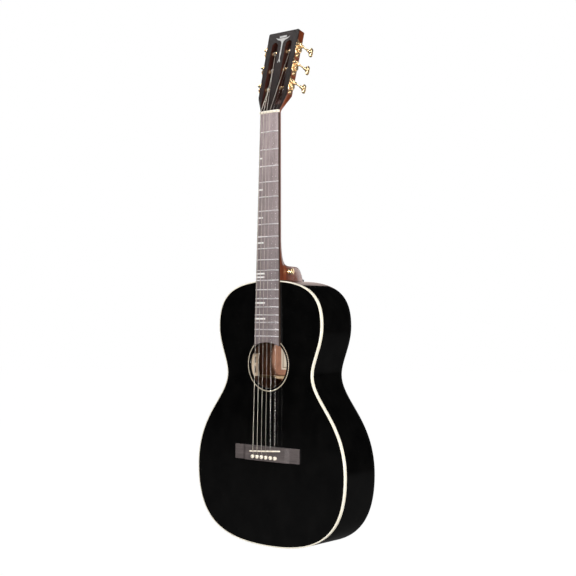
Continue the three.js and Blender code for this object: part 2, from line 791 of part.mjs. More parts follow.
add('cross_brace', crossBrace(), SPRUCE);
add('upper_brace', topBrace([-110, 404], [110, 404], 12, 16), SPRUCE);
add('tone_bar_upper', topBrace([-98, 138], [62, 96], 7, 12), SPRUCE);
add('tone_bar_lower', topBrace([-66, 92], [70, 56], 7, 10), SPRUCE);
[[86, 12, 10], [200, 12, 10], [312, 5.5, 14], [424, 5.5, 14]].forEach(([z, width, height], i) => {
  add(`back_brace_${i + 1}`, backBrace(z, width, height), SPRUCE);
});
add('waist_brace', waistBrace(), SPRUCE);

add('bridge', bridge(), ROSEWOOD);
add('bridge_plate', bridgePlate(), INSIDE_WOOD);
add('saddle', saddleBlank(0), IVORY);

add('neck', neck(), MAHOGANY);
add('head_veneer', headVeneer(), ROSEWOOD);
add('fretboard', fretboard(), ROSEWOOD);
add('nut', nut(), IVORY);
add('heel_cap', heelCap(), BLACK_LACQUER);

const endPin = add('end_pin', strapButton(END_PIN.headR, 4, END_PIN.out, END_PIN.stemR, 20), GOLD);
endPin.position.set(0, END_PIN.y, -0.3);
endPin.rotation.x = Math.PI / 2;

const heelButton = add('heel_button', strapButton(HEEL_BUTTON.headR, 3, HEEL_BUTTON.out, 4, 0), GOLD);
heelButton.position.set(HEEL_BUTTON.x, HEEL_BUTTON.y, HEEL_BUTTON.z);
heelButton.rotation.z = HEEL_BUTTON.turn;

const head = new THREE.Group();
head.position.set(0, 0, HEAD_Z);
head.rotation.x = -HEAD_TILT;
guitar.add(head);

STRINGS.forEach(({ name, r, post: row }, i) => {
  const plain = r < 0.25;
  add(`string_${name}`, string(i), plain ? STEEL : BRONZE);
  add(`bridge_pin_${name}`, bridgePin(), IVORY).position.set(pinXs[i], 0, PIN.z);

  const sign = i < 3 ? -1 : 1;
  const u = POST_U[row];
  const tuner = new THREE.Group();
  tuner.position.set(sign * headHalf(u), POST.b, u);
  tuner.rotation.y = sign * SIDE_TAPER;
  head.add(tuner);
  add(`tuner_plate_${name}`, tunerPlate(sign), GOLD, tuner);
  add(`tuner_post_${name}`, post(sign, u), GOLD, tuner);
  add(`tuner_knob_${name}`, knob(), GOLD, tuner).position.set(sign * PLATE.gearOut, 0, WORM_RISE);
});

export default guitar;
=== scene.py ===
"""The looks of the acoustic guitar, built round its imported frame.

Shapes are laid out in millimetres in the guitar's own layout: x runs to the treble side, y from
the soundboard's face to the back, and z up from the tail of the body. place() turns that layout
into the frame's metres. The headstock and the machine heads have tilted layouts of their own.
"""

import math

import bmesh
import bpy
import numpy as np
from mathutils import Matrix, Vector

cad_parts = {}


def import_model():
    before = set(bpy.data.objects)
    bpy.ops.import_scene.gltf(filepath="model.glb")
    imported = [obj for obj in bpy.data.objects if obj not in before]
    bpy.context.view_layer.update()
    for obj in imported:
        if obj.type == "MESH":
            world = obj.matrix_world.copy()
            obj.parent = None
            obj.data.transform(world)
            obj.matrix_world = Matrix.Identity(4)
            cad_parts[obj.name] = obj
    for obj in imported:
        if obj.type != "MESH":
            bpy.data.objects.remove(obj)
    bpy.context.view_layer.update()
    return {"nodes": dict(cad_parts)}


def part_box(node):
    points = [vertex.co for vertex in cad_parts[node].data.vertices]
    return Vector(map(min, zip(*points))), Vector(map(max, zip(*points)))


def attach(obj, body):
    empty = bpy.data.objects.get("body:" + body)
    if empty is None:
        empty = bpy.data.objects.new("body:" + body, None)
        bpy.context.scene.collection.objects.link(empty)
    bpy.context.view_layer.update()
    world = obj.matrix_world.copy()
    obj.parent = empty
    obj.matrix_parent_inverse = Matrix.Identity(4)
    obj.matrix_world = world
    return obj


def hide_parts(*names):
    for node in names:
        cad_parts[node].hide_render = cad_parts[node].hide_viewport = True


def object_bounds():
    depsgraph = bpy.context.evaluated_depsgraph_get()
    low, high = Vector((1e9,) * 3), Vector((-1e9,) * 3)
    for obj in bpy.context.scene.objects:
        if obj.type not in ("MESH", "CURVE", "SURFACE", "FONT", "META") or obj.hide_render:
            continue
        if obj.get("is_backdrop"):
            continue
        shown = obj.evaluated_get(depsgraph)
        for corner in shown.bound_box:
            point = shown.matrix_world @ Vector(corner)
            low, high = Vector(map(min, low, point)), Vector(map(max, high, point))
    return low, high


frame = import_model()

# ------------------------------------------------------------------ layout and dimensions

MM = 0.001
ROOT = "body_and_neck"
FACE_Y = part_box("soundboard")[0].y
TAIL_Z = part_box("top_binding")[0].z
STRING_NAMES = ["low_e", "a", "d", "g", "b", "high_e"]

# body
BODY_LENGTH = 498.0
LOWER_HALF, LOWER_Z = 181.0, 141.0
WAIST_HALF, WAIST_Z = 104.5, 322.0
UPPER_HALF, UPPER_Z = 126.7, 412.0
DEPTH_TAIL, DEPTH_NECK = 92.0, 91.0
PLATE_THICK = 3.0
RIM_THICK = 2.2
BINDING_DEPTH = 6.0
PURFLING_WIDTH = 0.7
HOLE_Z, HOLE_R = 340.0, 44.7
RING_INNER, RING_OUTER, BLOCK_LENGTH = 48.9, 50.9, 3.4
TOP_ARCH, TOP_ARCH_Z, TOP_SPAN_X, TOP_SPAN_Z = 1.0, 160.0, 115.0, 110.0
FLAT_R, ARCHED_R = 56.0, 125.0
BACK_ARCH, BACK_ARCH_Z, BACK_SPAN_X = 2.0, 250.0, 170.0

# neck and fretboard
SCALE_LENGTH = 632.0
NUT_Z = 814.0
FRETS = 19
NUT_HALF, JOINT_HALF = 22.45, 28.2
BOARD_THICK = 5.3
BOARD_Y_NUT, BOARD_Y_JOINT = -1.7, -5.4
BOARD_CORNER_Z, BOARD_MIDDLE_Z = 374.5, 381.5
CAMBER_R = 406.0
HEEL_TOP, HEEL_SHELF, HEEL_BACK, HEEL_END_HALF = 525.3, 63.0, 92.0, 8.5
NECK_DEPTH_NUT, NECK_DEPTH_HEEL, SHAFT_Z = 15.2, 17.2, 540.0
NUT_THICK, NUT_TOP = 4.9, -3.5

# headstock
HEAD_Z = 818.0
HEAD_TILT = math.radians(14.75)
HEAD_LENGTH, HEAD_TOP_HALF, HEAD_THICK = 165.0, 37.5, 17.0
SHOULDER_HALF, SHOULDER_U = 35.0, 30.0
SLOT_INNER, SLOT_OUTER, SLOT_LOW, SLOT_HIGH = 9.6, 24.6, 22.0, 144.0
SLOT_MIDDLE, SLOT_R = (SLOT_INNER + SLOT_OUTER) / 2, (SLOT_OUTER - SLOT_INNER) / 2
RAMP_LOW, RAMP_DEEP = 11.0, 7.0
VENEER = 2.0

# machine heads
POST_U = [48.8, 87.05, 124.2]
POST_B, POST_R, POST_INNER = 7.5, 3.2, 6.0
GEAR_TEETH, GEAR_PITCH_R, GEAR_THICK = 16, 6.0, 2.3
WORM_PITCH_R, WORM_LENGTH = 2.7, 9.6
WORM_RISE = GEAR_PITCH_R + WORM_PITCH_R
GEAR_OUT = 4.6
KNOB_AT = 32.5

# bridge and strings
BRIDGE_LOW, BRIDGE_HIGH, BRIDGE_HALF = 159.4, 187.0, 78.3
BRIDGE_WING, BRIDGE_CROWN, BRIDGE_CROWN_HALF = 4.4, 9.0, 47.0
SADDLE_HALF, SADDLE_Z, SADDLE_TOP, SADDLE_THICK = 38.5, 178.3, -12.0, 2.8
SADDLE_SLANT = math.radians(3.5)
PIN_Z, PIN_SPACING, PIN_R = 167.0, 11.0, 2.4
STRING_R = [0.675, 0.535, 0.405, 0.305, 0.205, 0.15]
STRING_POST = [0, 1, 2, 2, 1, 0]
STRING_POST_X = [-16.5, -15.0, -17.0, 19.5, 20.0, 21.5]
NUT_SPACING, SADDLE_SPACING = 7.6, 10.8
WINDING_TURNS = [2.6, 3.1, 3.6, 4.1, 4.6, 5.1]

# strap button on the heel
BUTTON_TURN = math.radians(100)
BUTTON_HEAD_R, BUTTON_NECK_R, BUTTON_OUT, BUTTON_STEM = 6.2, 3.0, 8.5, 2.0


def mix(a, b, t):
    return a + (b - a) * t


def smoothstep(x, low, high):
    t = np.clip((x - low) / (high - low), 0.0, 1.0)
    return t * t * (3.0 - 2.0 * t)


def fret_z(fret):
    return NUT_Z - SCALE_LENGTH * (1.0 - 2.0 ** (-fret / 12.0))


JOINT_Z = fret_z(12)


def back_y(z):
    return mix(DEPTH_TAIL, DEPTH_NECK, z / BODY_LENGTH)


def board_half(z):
    return mix(NUT_HALF, JOINT_HALF, (NUT_Z - z) / (NUT_Z - JOINT_Z))


def board_y(z):
    return mix(BOARD_Y_NUT, BOARD_Y_JOINT, (NUT_Z - z) / (NUT_Z - JOINT_Z))


def neck_top_y(z):
    return board_y(z) + BOARD_THICK + 0.1


def camber(x):
    return x * x / (2.0 * CAMBER_R)


def place(points):
    """Millimetres in the guitar's layout to metres in the frame."""
    out = np.asarray(points, float) * MM
    out[:, 1] += FACE_Y
    out[:, 2] += TAIL_Z
    return out


def from_head(points):
    """The headstock's layout (x, b back from its face, u up its face) to the guitar's."""
    x, b, u = np.asarray(points, float).T
    c, s = math.cos(HEAD_TILT), math.sin(HEAD_TILT)
    return np.stack([x, b * c + u * s, HEAD_Z + u * c - b * s], axis=1)


def head_half(u):
    return mix(SHOULDER_HALF, HEAD_TOP_HALF, (u - SHOULDER_U) / (HEAD_LENGTH - SHOULDER_U))


SIDE_TAPER = math.atan2(HEAD_TOP_HALF - SHOULDER_HALF, HEAD_LENGTH - SHOULDER_U)


def side_of(i):
    """The sign of x on string i's side of the headstock."""
    return -1.0 if i < 3 else 1.0


def from_tuner(i):
    """The layout of string i's machine head: the post on x, the worm's shaft along y, z up."""
    sign = side_of(i)
    post_u = POST_U[STRING_POST[i]]
    c, s = math.cos(sign * SIDE_TAPER), math.sin(sign * SIDE_TAPER)

    def convert(points):
        x, b, u = np.asarray(points, float).T
        turned = np.stack(
            [x * c + u * s + sign * head_half(post_u), b + POST_B, u * c - x * s + post_u], axis=1
        )
        return from_head(turned)

    return convert


# ------------------------------------------------------------------ mesh helpers


class Shape:
    """Points in millimetres with faces, and one material number for each face."""

    def __init__(self):
        self.points = []
        self.faces = []
        self.mats = []

    def add(self, points, faces, mats=0):
        start = len(self.points)
        self.points.extend(tuple(p) for p in points)
        self.faces.extend([start + i for i in face] for face in faces)
        self.mats.extend([mats] * len(faces) if isinstance(mats, int) else mats)
        return self

    def join(self, other):
        return self.add(other.points, other.faces)

    def moved(self, convert):
        self.points = [tuple(p) for p in convert(self.points)]
        return self


def grid_faces(rows, columns, wrap_rows=False, wrap_columns=False):
    faces = []
    for i in range(rows if wrap_rows else rows - 1):
        for j in range(columns if wrap_columns else columns - 1):
            a, b = i * columns + j, i * columns + (j + 1) % columns
            c, d = ((i + 1) % rows) * columns + (j + 1) % columns, ((i + 1) % rows) * columns + j
            faces.append([a, b, c, d])
    return faces


def loft(sections):
    """A closed solid through sections of equal length, with flat ends."""
    sections = [list(section) for section in sections]
    rows, columns = len(sections), len(sections[0])
    faces = grid_faces(rows, columns, wrap_columns=True)
    faces.append(list(range(columns))[::-1])
    faces.append([(rows - 1) * columns + j for j in range(columns)])
    return Shape().add([p for section in sections for p in section], faces)


def lathe(profile, segments, mats=None):
    """A solid turned on the y axis; profile lists (radius, y) and starts and ends on the axis."""
    points, rings = [], []
    for r, y in profile:
        count = 1 if r < 1e-6 else segments
        rings.append([len(points) + j for j in range(count)])
        for j in range(count):
            a = 2 * math.pi * j / segments
            points.append((r * math.sin(a), y, r * math.cos(a)))
    faces, numbers = [], []
    for k, (low, high) in enumerate(zip(rings, rings[1:])):
        for j in range(segments):
            a, b = low[j % len(low)], low[(j + 1) % len(low)]
            c, d = high[(j + 1) % len(high)], high[j % len(high)]
            faces.append([v for n, v in enumerate([a, b, c, d]) if v not in [a, b, c, d][:n]])
            numbers.append(mats[k] if mats else 0)
    return Shape().add(points, faces, numbers)


def tube(points, radius, sides):
    """A round wire through the points."""
    points = np.asarray(points, float)
    steps = np.gradient(points, axis=0)
    steps /= np.linalg.norm(steps, axis=1)[:, None]
    normal = np.cross(steps[0], [0.3, 0.2, 0.93])
    normal /= np.linalg.norm(normal)
    angles = [2 * math.pi * j / sides for j in range(sides)]
    sections = []
    for p, t in zip(points, steps):
        normal = normal - t * (normal @ t)
        normal /= np.linalg.norm(normal)
        side = np.cross(t, normal)
        sections.append([p + radius * (math.cos(a) * normal + math.sin(a) * side) for a in angles])
    return loft(sections)


def mesh_object(name, shape):
    """Turn a shape in the guitar's layout into an object in the frame."""
    mesh = bpy.data.meshes.new(name)
    mesh.from_pydata([tuple(p) for p in place(shape.points)], [], shape.faces)
    mesh.polygons.foreach_set("material_index", shape.mats)
    bm = bmesh.new()
    bm.from_mesh(mesh)
    bmesh.ops.remove_doubles(bm, verts=bm.verts, dist=1e-7)
    bmesh.ops.recalc_face_normals(bm, faces=bm.faces)
    bm.to_mesh(mesh)
    bm.free()
    obj = bpy.data.objects.new(name, mesh)
    bpy.context.scene.collection.objects.link(obj)
    return obj


def make(name, shape, materials, slot, body=ROOT, replaces=(), sharp=35.0):
    """Turn a shape in the guitar's layout into a piece that rides on a body."""
    obj = mesh_object(name, shape)
    for material in materials if isinstance(materials, list) else [materials]:
        obj.data.materials.append(material)
    shade(obj, sharp)
    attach(obj, body)
    if replaces:
        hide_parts(*replaces)
    return obj


def make_gold(name, shape, **options):
    make(name, shape, GOLD, "gold_hardware", **options)


def shade(obj, sharp):
    obj.data.shade_smooth()
    obj.data.set_sharp_from_angle(angle=math.radians(sharp))


def bevel(obj, width, segments=3, angle=35.0):
    modifier = obj.modifiers.new("bevel", "BEVEL")
    modifier.width = width * MM
    modifier.segments = segments
    modifier.limit_method = "ANGLE"
    modifier.angle_limit = math.radians(angle)
    modifier.harden_normals = True
    even = obj.modifiers.new("even_normals", "WEIGHTED_NORMAL")
    even.keep_sharp = True
    return obj


def apply_modifiers(obj):
    graph = bpy.context.evaluated_depsgraph_get()
    mesh = bpy.data.meshes.new_from_object(obj.evaluated_get(graph))
    obj.modifiers.clear()
    obj.data = mesh
    return obj


def boolean(obj, tool, operation="DIFFERENCE"):
    """Cut or join obj by a tool, and take the tool away."""
    modifier = obj.modifiers.new("boolean", "BOOLEAN")
    modifier.operation = operation
    modifier.solver = "EXACT"
    modifier.object = tool
    apply_modifiers(obj)
    bpy.data.objects.remove(tool)
    return obj


def prism(ring, y0, y1):
    """A ring of (x, z) drawn out along y."""
    return loft([[(x, y, z) for x, z in ring] for y in (y0, y1)])


def block(x0, x1, y0, y1, z0, z1):
    return prism([(x0, z0), (x1, z0), (x1, z1), (x0, z1)], y0, y1)


def turned(steps, end=math.pi):
    """Angles from 0 to end in equal steps."""
    return [end * k / steps for k in range(steps + 1)]


# ------------------------------------------------------------------ body outline

FINE = 700
RIM_STEPS = 560
OUTLINE = [
    [(0, 0), (112, 0), (LOWER_HALF, 29.5), (LOWER_HALF, LOWER_Z)],
    [(LOWER_HALF, LOWER_Z), (LOWER_HALF, 242), (WAIST_HALF, 273.5), (WAIST_HALF, WAIST_Z)],
    [(WAIST_HALF, WAIST_Z), (WAIST_HALF, 347), (UPPER_HALF, 376.5), (UPPER_HALF, UPPER_Z)],
    [(UPPER_HALF, UPPER_Z), (UPPER_HALF, 461.5), (105.5, BODY_LENGTH), (0, BODY_LENGTH)],
]


def fine_rim():
    """The whole outline and its inward normals at close steps, with the length run so far."""
    points, normals = [], []
    for curve in np.array(OUTLINE, float):
        t = np.linspace(0, 1, FINE, endpoint=False)[:, None]
        weights = [(1 - t) ** 3, 3 * t * (1 - t) ** 2, 3 * t * t * (1 - t), t**3]
        points.append(sum(w * p for w, p in zip(weights, curve)))
        slopes = [(1 - t) ** 2, 2 * t * (1 - t), t * t]
        tangent = sum(w * d for w, d in zip(slopes, np.diff(curve, axis=0)))
        tangent /= np.linalg.norm(tangent, axis=1)[:, None]
        normals.append(np.stack([-tangent[:, 1], tangent[:, 0]], axis=1))
    points.append(np.array([[0.0, BODY_LENGTH]]))
    normals.append(np.array([[0.0, -1.0]]))
    points, normals = np.concatenate(points), np.concatenate(normals)
    flip = np.array([-1.0, 1.0])
    points = np.concatenate([points, (points * flip)[::-1][1:]])
    normals = np.concatenate([normals, (normals * flip)[::-1][1:]])
    run = np.concatenate([[0], np.cumsum(np.linalg.norm(np.diff(points, axis=0), axis=1))])
    return points, normals, run


RIM_POINTS, RIM_NORMALS, RIM_RUN = fine_rim()
RIM_LENGTH = RIM_RUN[-1]


def rim(inset):
    """Points (x, z) evenly round the outline, moved inwards by inset."""
    run = np.arange(RIM_STEPS) / RIM_STEPS * RIM_LENGTH
    columns = (*RIM_POINTS.T, *RIM_NORMALS.T)
    x, z, nx, nz = (np.interp(run, RIM_RUN, column) for column in columns)
    return np.stack([x + nx * inset, z + nz * inset], axis=1)


def hoop(profile, mats=None):
    """A closed band round the body. profile lists (inset, share of the depth, offset)."""
    points = []
    for inset, share, offset in profile:
        points.extend((x, share * back_y(z) + offset, z) for x, z in rim(inset))
    faces = grid_faces(len(profile), RIM_STEPS, wrap_rows=True, wrap_columns=True)
    numbers = [mats[i // RIM_STEPS] if mats else 0 for i in range(len(faces))]
    return Shape().add(points, faces, numbers)


# ------------------------------------------------------------------ materials


def new_material(name):
    material = bpy.data.materials.new(name)
    material.use_nodes = True
    return material, material.node_tree, material.node_tree.nodes["Principled BSDF"]


def node(tree, kind, settings=None, **inputs):
    made = tree.nodes.new(kind)
    for key, value in (settings or {}).items():
        setattr(made, key, value)
    for key, value in inputs.items():
        socket = made.inputs[key.replace("_", " ")]
        if isinstance(value, bpy.types.NodeSocket):
            tree.links.new(value, socket)
        else:
            socket.default_value = value
    return made


def stretched(tree, scale):
    """Object coordinates scaled along each axis, so that a texture can be drawn out into grain."""
    coordinates = node(tree, "ShaderNodeTexCoord").outputs["Object"]
    return node(tree, "ShaderNodeMapping", Vector=coordinates, Scale=scale).outputs["Vector"]


def noise(tree, scale, detail, roughness=0.55, distortion=0.0):
    where = stretched(tree, scale)
    values = {"Detail": detail, "Roughness": roughness, "Distortion": distortion}
    return node(tree, "ShaderNodeTexNoise", Vector=where, Scale=1.0, **values).outputs["Fac"]


def ramp(tree, factor, stops):
    made = node(tree, "ShaderNodeValToRGB", Fac=factor)
    elements = made.color_ramp.elements
    while len(elements) < len(stops):
        elements.new(0.5)
    for element, (position, colour) in zip(elements, stops):
        element.position = position
        element.color = (*colour, 1.0)
    return made.outputs["Color"]


def blend_colour(tree, factor, a, b, mode="MIX"):
    made = tree.nodes.new("ShaderNodeMix")
    made.data_type = "RGBA"
    made.blend_type = mode
    for socket, value in ((made.inputs[0], factor), (made.inputs[6], a), (made.inputs[7], b)):
        if isinstance(value, bpy.types.NodeSocket):
            tree.links.new(value, socket)
        elif isinstance(value, tuple):
            socket.default_value = (*value, 1.0)
        else:
            socket.default_value = value
    return made.outputs[2]


def spread(tree, factor, low, high):
    return node(
        tree, "ShaderNodeMapRange", Value=factor, To_Min=low, To_Max=high
    ).outputs["Result"]


def painted_sheen_toward_nut(tree, share):
    """A grey level that runs from share at the neck's foot to 1 at the nut: a painted sheen that makes
    the colour lightest at the nut.
    """
    coordinates = node(tree, "ShaderNodeTexCoord").outputs["Object"]
    rise = node(tree, "ShaderNodeSeparateXYZ", Vector=coordinates).outputs["Z"]
    low, high = TAIL_Z + JOINT_Z * MM, TAIL_Z + NUT_Z * MM
    return node(
        tree, "ShaderNodeMapRange", Value=rise, From_Min=low, From_Max=high, To_Min=share, To_Max=1.0
    ).outputs["Result"]


def bump(tree, shader, height, strength, distance):
    made = node(tree, "ShaderNodeBump", Height=height, Strength=strength, Distance=distance)
    link(tree, made.outputs["Normal"], shader, "Normal")


def link(tree, output, shader, name):
    tree.links.new(output, shader.inputs[name])


def fix(shader, **values):
    """Set sockets that hold one value all over the piece."""
    for name, value in values.items():
        shader.inputs[name.replace("_", " ")].default_value = value


def lacquer(name, dark, light):
    """High-gloss black lacquer with faint polishing haze and a trace of orange peel."""
    material, tree, shader = new_material(name)
    haze = noise(tree, (38, 38, 30), detail=6)
    link(tree, ramp(tree, haze, [(0.35, dark), (0.7, light)]), shader, "Base Color")
    polish = noise(tree, (900, 900, 700), detail=3)
    link(tree, spread(tree, polish, 0.03, 0.075), shader, "Roughness")
    fix(shader, Specular_IOR_Level=0.5)
    bump(tree, shader, noise(tree, (160, 160, 160), detail=2), 0.05, 0.0002)
    return material


def wood(
    name, colours, pore, gloss, grain=(700, 700, 16), coat=0.0, specular=0.5, pore_depth=0.25, fade=1.0
):
    """Wood drawn out along one axis: broad bands, fine streaks and dark pores. A fade below 1
    multiplies in a painted sheen that is lightest at the nut.
    """
    material, tree, shader = new_material(name)
    along = grain.index(min(grain))
    broad = tuple(g * (0.28 if k == along else 0.09) for k, g in enumerate(grain))
    bands = noise(tree, broad, 3, 0.5, 0.6)
    streaks = noise(tree, grain, 5, 0.62)
    figure = blend_colour(
        tree, 0.45, ramp(tree, bands, [(0.25, colours[0]), (0.5, colours[1]), (0.75, colours[2])]),
        ramp(tree, streaks, [(0.3, colours[0]), (0.55, colours[1]), (0.78, colours[2])]),
    )
    fine = tuple(g * (5.0 if k == along else 3.2) for k, g in enumerate(grain))
    pores = noise(tree, fine, 2, 0.5)
    mask = node(
        tree, "ShaderNodeMapRange", Value=pores, From_Min=0.32, From_Max=0.42
    ).outputs["Result"]
    surface = blend_colour(tree, mask, pore, figure)
    # painted sheen: the colour is darkened towards the neck's foot and is lightest at the nut
    if fade != 1.0:
        surface = blend_colour(tree, 1.0, surface, painted_sheen_toward_nut(tree, fade), "MULTIPLY")
    link(tree, surface, shader, "Base Color")
    link(tree, spread(tree, streaks, gloss[0], gloss[1]), shader, "Roughness")
    fix(shader, Specular_IOR_Level=specular, Coat_Weight=coat, Coat_Roughness=0.05)
    bump(tree, shader, mask, pore_depth, 0.0002)
    return material


def plastic(name, low, high, gloss):
    """Ivory-coloured plastic or bone with faint drawn-out streaks."""
    material, tree, shader = new_material(name)
    streaks = noise(tree, (250, 250, 9), 4, 0.6)
    link(tree, ramp(tree, streaks, [(0.3, low), (0.7, high)]), shader, "Base Color")
    link(tree, spread(tree, noise(tree, (600, 600, 600), 3), *gloss), shader, "Roughness")
    fix(shader, Subsurface_Weight=0.08, Subsurface_Radius=(0.002, 0.0015, 0.001))
    bump(tree, shader, streaks, 0.04, 0.0001)
    return material


def metal(name, low, high, gloss, metallic=1.0):
    """Polished plate with faint tarnish and fine wear."""
    material, tree, shader = new_material(name)
    fix(shader, Metallic=metallic)
    tone = noise(tree, (500, 500, 500), 4, 0.6)
    link(tree, ramp(tree, tone, [(0.3, low), (0.68, high)]), shader, "Base Color")
    wear = noise(tree, (2600, 2600, 900), 4, 0.6)
    link(tree, spread(tree, wear, *gloss), shader, "Roughness")
    bump(tree, shader, wear, 0.06, 0.00005)
    return material


def wound_wire(name):
    """Bronze winding: close turns across a wire that runs along z, with painted shade darkening the
    grooves between the turns.
    """
    material, tree, shader = new_material(name)
    fix(shader, Metallic=1.0)
    turns = node(
        tree, "ShaderNodeTexWave", {"bands_direction": "Z", "wave_profile": "SIN"},
        Vector=stretched(tree, (1, 1, 1)), Scale=700.0, Distortion=0.0,
    ).outputs["Fac"]
    tone = noise(tree, (90, 90, 30), 3)
    base = ramp(tree, tone, [(0.3, (0.56, 0.49, 0.42)), (0.7, (0.71, 0.65, 0.58))])
    # painted shade: the turns' wave darkens the colour in the grooves between turns
    link(tree, blend_colour(tree, 0.35, base, turns, "MULTIPLY"), shader, "Base Color")
    link(tree, spread(tree, tone, 0.24, 0.4), shader, "Roughness")
    bump(tree, shader, turns, 0.5, 0.0002)
    return material


def pearl(name, level):
    """Mother of pearl: soft cells of white, rose and green that shimmer."""
    material, tree, shader = new_material(name)
    cells = node(
        tree, "ShaderNodeTexVoronoi", {"feature": "SMOOTH_F1"},
        Vector=stretched(tree, (420, 420, 190)), Scale=1.0, Smoothness=0.8,
    ).outputs["Distance"]
    wavy = noise(tree, (300, 300, 120), 3, 0.5, 1.2)
    tints = [(0.3, (0.82, 0.88, 0.85)), (0.5, (0.95, 0.93, 0.90)), (0.68, (0.93, 0.84, 0.86))]
    tint = ramp(tree, wavy, tints)
    shine = ramp(tree, cells, [(0.0, (0.95, 0.95, 0.93)), (0.8, (0.72, 0.74, 0.74))])
    sheen = blend_colour(tree, 0.4, tint, shine, "MULTIPLY")
    link(tree, blend_colour(tree, 1.0, sheen, (level,) * 3, "MULTIPLY"), shader, "Base Color")
    link(tree, spread(tree, cells, 0.22, 0.4), shader, "Roughness")
    return material


def paper(name):
    """Unglazed cream paper with fine fibres."""
    material, tree, shader = new_material(name)
    fibres = noise(tree, (700, 700, 900), 5, 0.65)
    tone = ramp(tree, fibres, [(0.3, (0.84, 0.72, 0.56)), (0.7, (0.94, 0.84, 0.69))])
    link(tree, tone, shader, "Base Color")
    fix(shader, Roughness=0.85)
    bump(tree, shader, fibres, 0.15, 0.0001)
    return material


BLACK = lacquer("black_lacquer", (0.0012, 0.0012, 0.0012), (0.0026, 0.0025, 0.0024))
BLACK_EDGE = lacquer("black_binding", (0.003, 0.003, 0.003), (0.006, 0.006, 0.006))
IVORY = plastic("ivory_binding", (0.72, 0.66, 0.53), (0.83, 0.78, 0.67), (0.12, 0.28))
BONE = plastic("bone", (0.76, 0.68, 0.54), (0.87, 0.81, 0.69), (0.2, 0.36))
MAHOGANY = wood(
    "mahogany", [(0.06, 0.011, 0.004), (0.15, 0.031, 0.009), (0.27, 0.062, 0.019)],
    (0.035, 0.008, 0.003), (0.22, 0.36), coat=0.35,
)
# Bare, matte wood inside the slots. It is several times darker than the neck's mahogany, and that
# darkness is painted shade in the recesses.
SLOT_MAHOGANY_PAINTED_SHADE = wood(
    "slot_mahogany_painted_shade", [(0.014, 0.004, 0.003), (0.036, 0.009, 0.005), (0.075, 0.018, 0.009)],
    (0.010, 0.003, 0.002), (0.5, 0.65), specular=0.15,
)
# The fretboard's top: a light grey copy of the rosewood. Its lightness, and its rise towards the nut,
# are painted sheen.
ROSEWOOD = wood(
    "rosewood", [(0.26, 0.205, 0.205), (0.46, 0.375, 0.378), (0.66, 0.555, 0.56)],
    (0.16, 0.125, 0.125), (0.42, 0.58), grain=(900, 900, 14), fade=0.42,
)
DARK_ROSEWOOD = wood(
    "board_edge_rosewood", [(0.018, 0.009, 0.006), (0.042, 0.023, 0.015), (0.075, 0.043, 0.03)],
    (0.010, 0.006, 0.004), (0.38, 0.55), grain=(900, 900, 14),
)
HEAD_ROSEWOOD = wood(
    "veneer_rosewood", [(0.005, 0.0026, 0.0022), (0.012, 0.006, 0.005), (0.026, 0.013, 0.0105)],
    (0.003, 0.0014, 0.0012), (0.3, 0.42), grain=(800, 800, 14), specular=0.15,
)
BRIDGE_ROSEWOOD = wood(
    "bridge_rosewood", [(0.045, 0.036, 0.035), (0.085, 0.070, 0.068), (0.135, 0.112, 0.11)],
    (0.03, 0.022, 0.021), (0.6, 0.75), grain=(14, 900, 900), specular=0.3,
)
SPRUCE = wood(
    "spruce", [(0.55, 0.36, 0.19), (0.70, 0.50, 0.29), (0.80, 0.62, 0.40)], (0.50, 0.32, 0.17),
    (0.6, 0.75), grain=(900, 900, 6), pore_depth=0.1,
)
# A much paler copy of the spruce for the waist brace alone. The extra lightness is painted light where
# lamplight through the soundhole falls on it.
SPRUCE_PAINTED_LIGHT = wood(
    "spruce_painted_light", [(0.80, 0.62, 0.44), (0.90, 0.74, 0.56), (0.96, 0.84, 0.68)], (0.72, 0.54, 0.36),
    (0.6, 0.75), grain=(900, 900, 6), pore_depth=0.1,
)
BACK_WOOD = wood(
    "bare_back", [(0.38, 0.165, 0.10), (0.52, 0.25, 0.15), (0.64, 0.335, 0.21)],
    (0.25, 0.108, 0.066), (0.6, 0.75),
)
# Dark wood for the inside of the sides, the linings, the blocks, the bridge plate and the soundboard's
# underside, which is spruce. The wood is made dark as painted shade inside the body.
INSIDE_WOOD_PAINTED_SHADE = wood(
    "inside_mahogany_painted_shade", [(0.09, 0.040, 0.022), (0.14, 0.066, 0.036), (0.20, 0.100, 0.056)],
    (0.05, 0.022, 0.013), (0.6, 0.75),
)
GOLD = metal("gold", (0.90, 0.60, 0.30), (1.0, 0.78, 0.48), (0.16, 0.32), metallic=0.86)
NICKEL = metal("fret_nickel", (0.62, 0.59, 0.60), (0.80, 0.77, 0.78), (0.3, 0.45), metallic=0.7)
PLAIN_WIRE = metal("plain_wire", (0.36, 0.345, 0.33), (0.52, 0.505, 0.48), (0.2, 0.34))
WOUND_WIRE = wound_wire("wound_wire")
PEARL = pearl("pearl", 1.0)
MOTIF_PEARL = pearl("motif_pearl", 0.5)
PAPER = paper("label_paper")
INK = plastic("label_ink", (0.42, 0.32, 0.22), (0.52, 0.41, 0.30), (0.6, 0.8))
PURFLING_DARK = plastic("purfling_black", (0.006, 0.006, 0.006), (0.012, 0.011, 0.01), (0.1, 0.2))
PURFLING_MID = plastic("purfling_walnut", (0.15, 0.12, 0.09), (0.22, 0.18, 0.14), (0.15, 0.3))
PURFLING_LIGHT = plastic("purfling_maple", (0.62, 0.54, 0.40), (0.76, 0.70, 0.57), (0.12, 0.25))


# ------------------------------------------------------------------ body


def top_arch(x, z, share):
    """The slight swell of the lower bout, flat round the soundhole and along the rim."""
    swell = np.exp(-((x / TOP_SPAN_X) ** 2) - ((z - TOP_ARCH_Z) / TOP_SPAN_Z) ** 2)
    clear = smoothstep(np.hypot(x, z - HOLE_Z), FLAT_R, ARCHED_R)
    return -TOP_ARCH * swell * clear * smoothstep(1.0 - share, 0.03, 0.35)


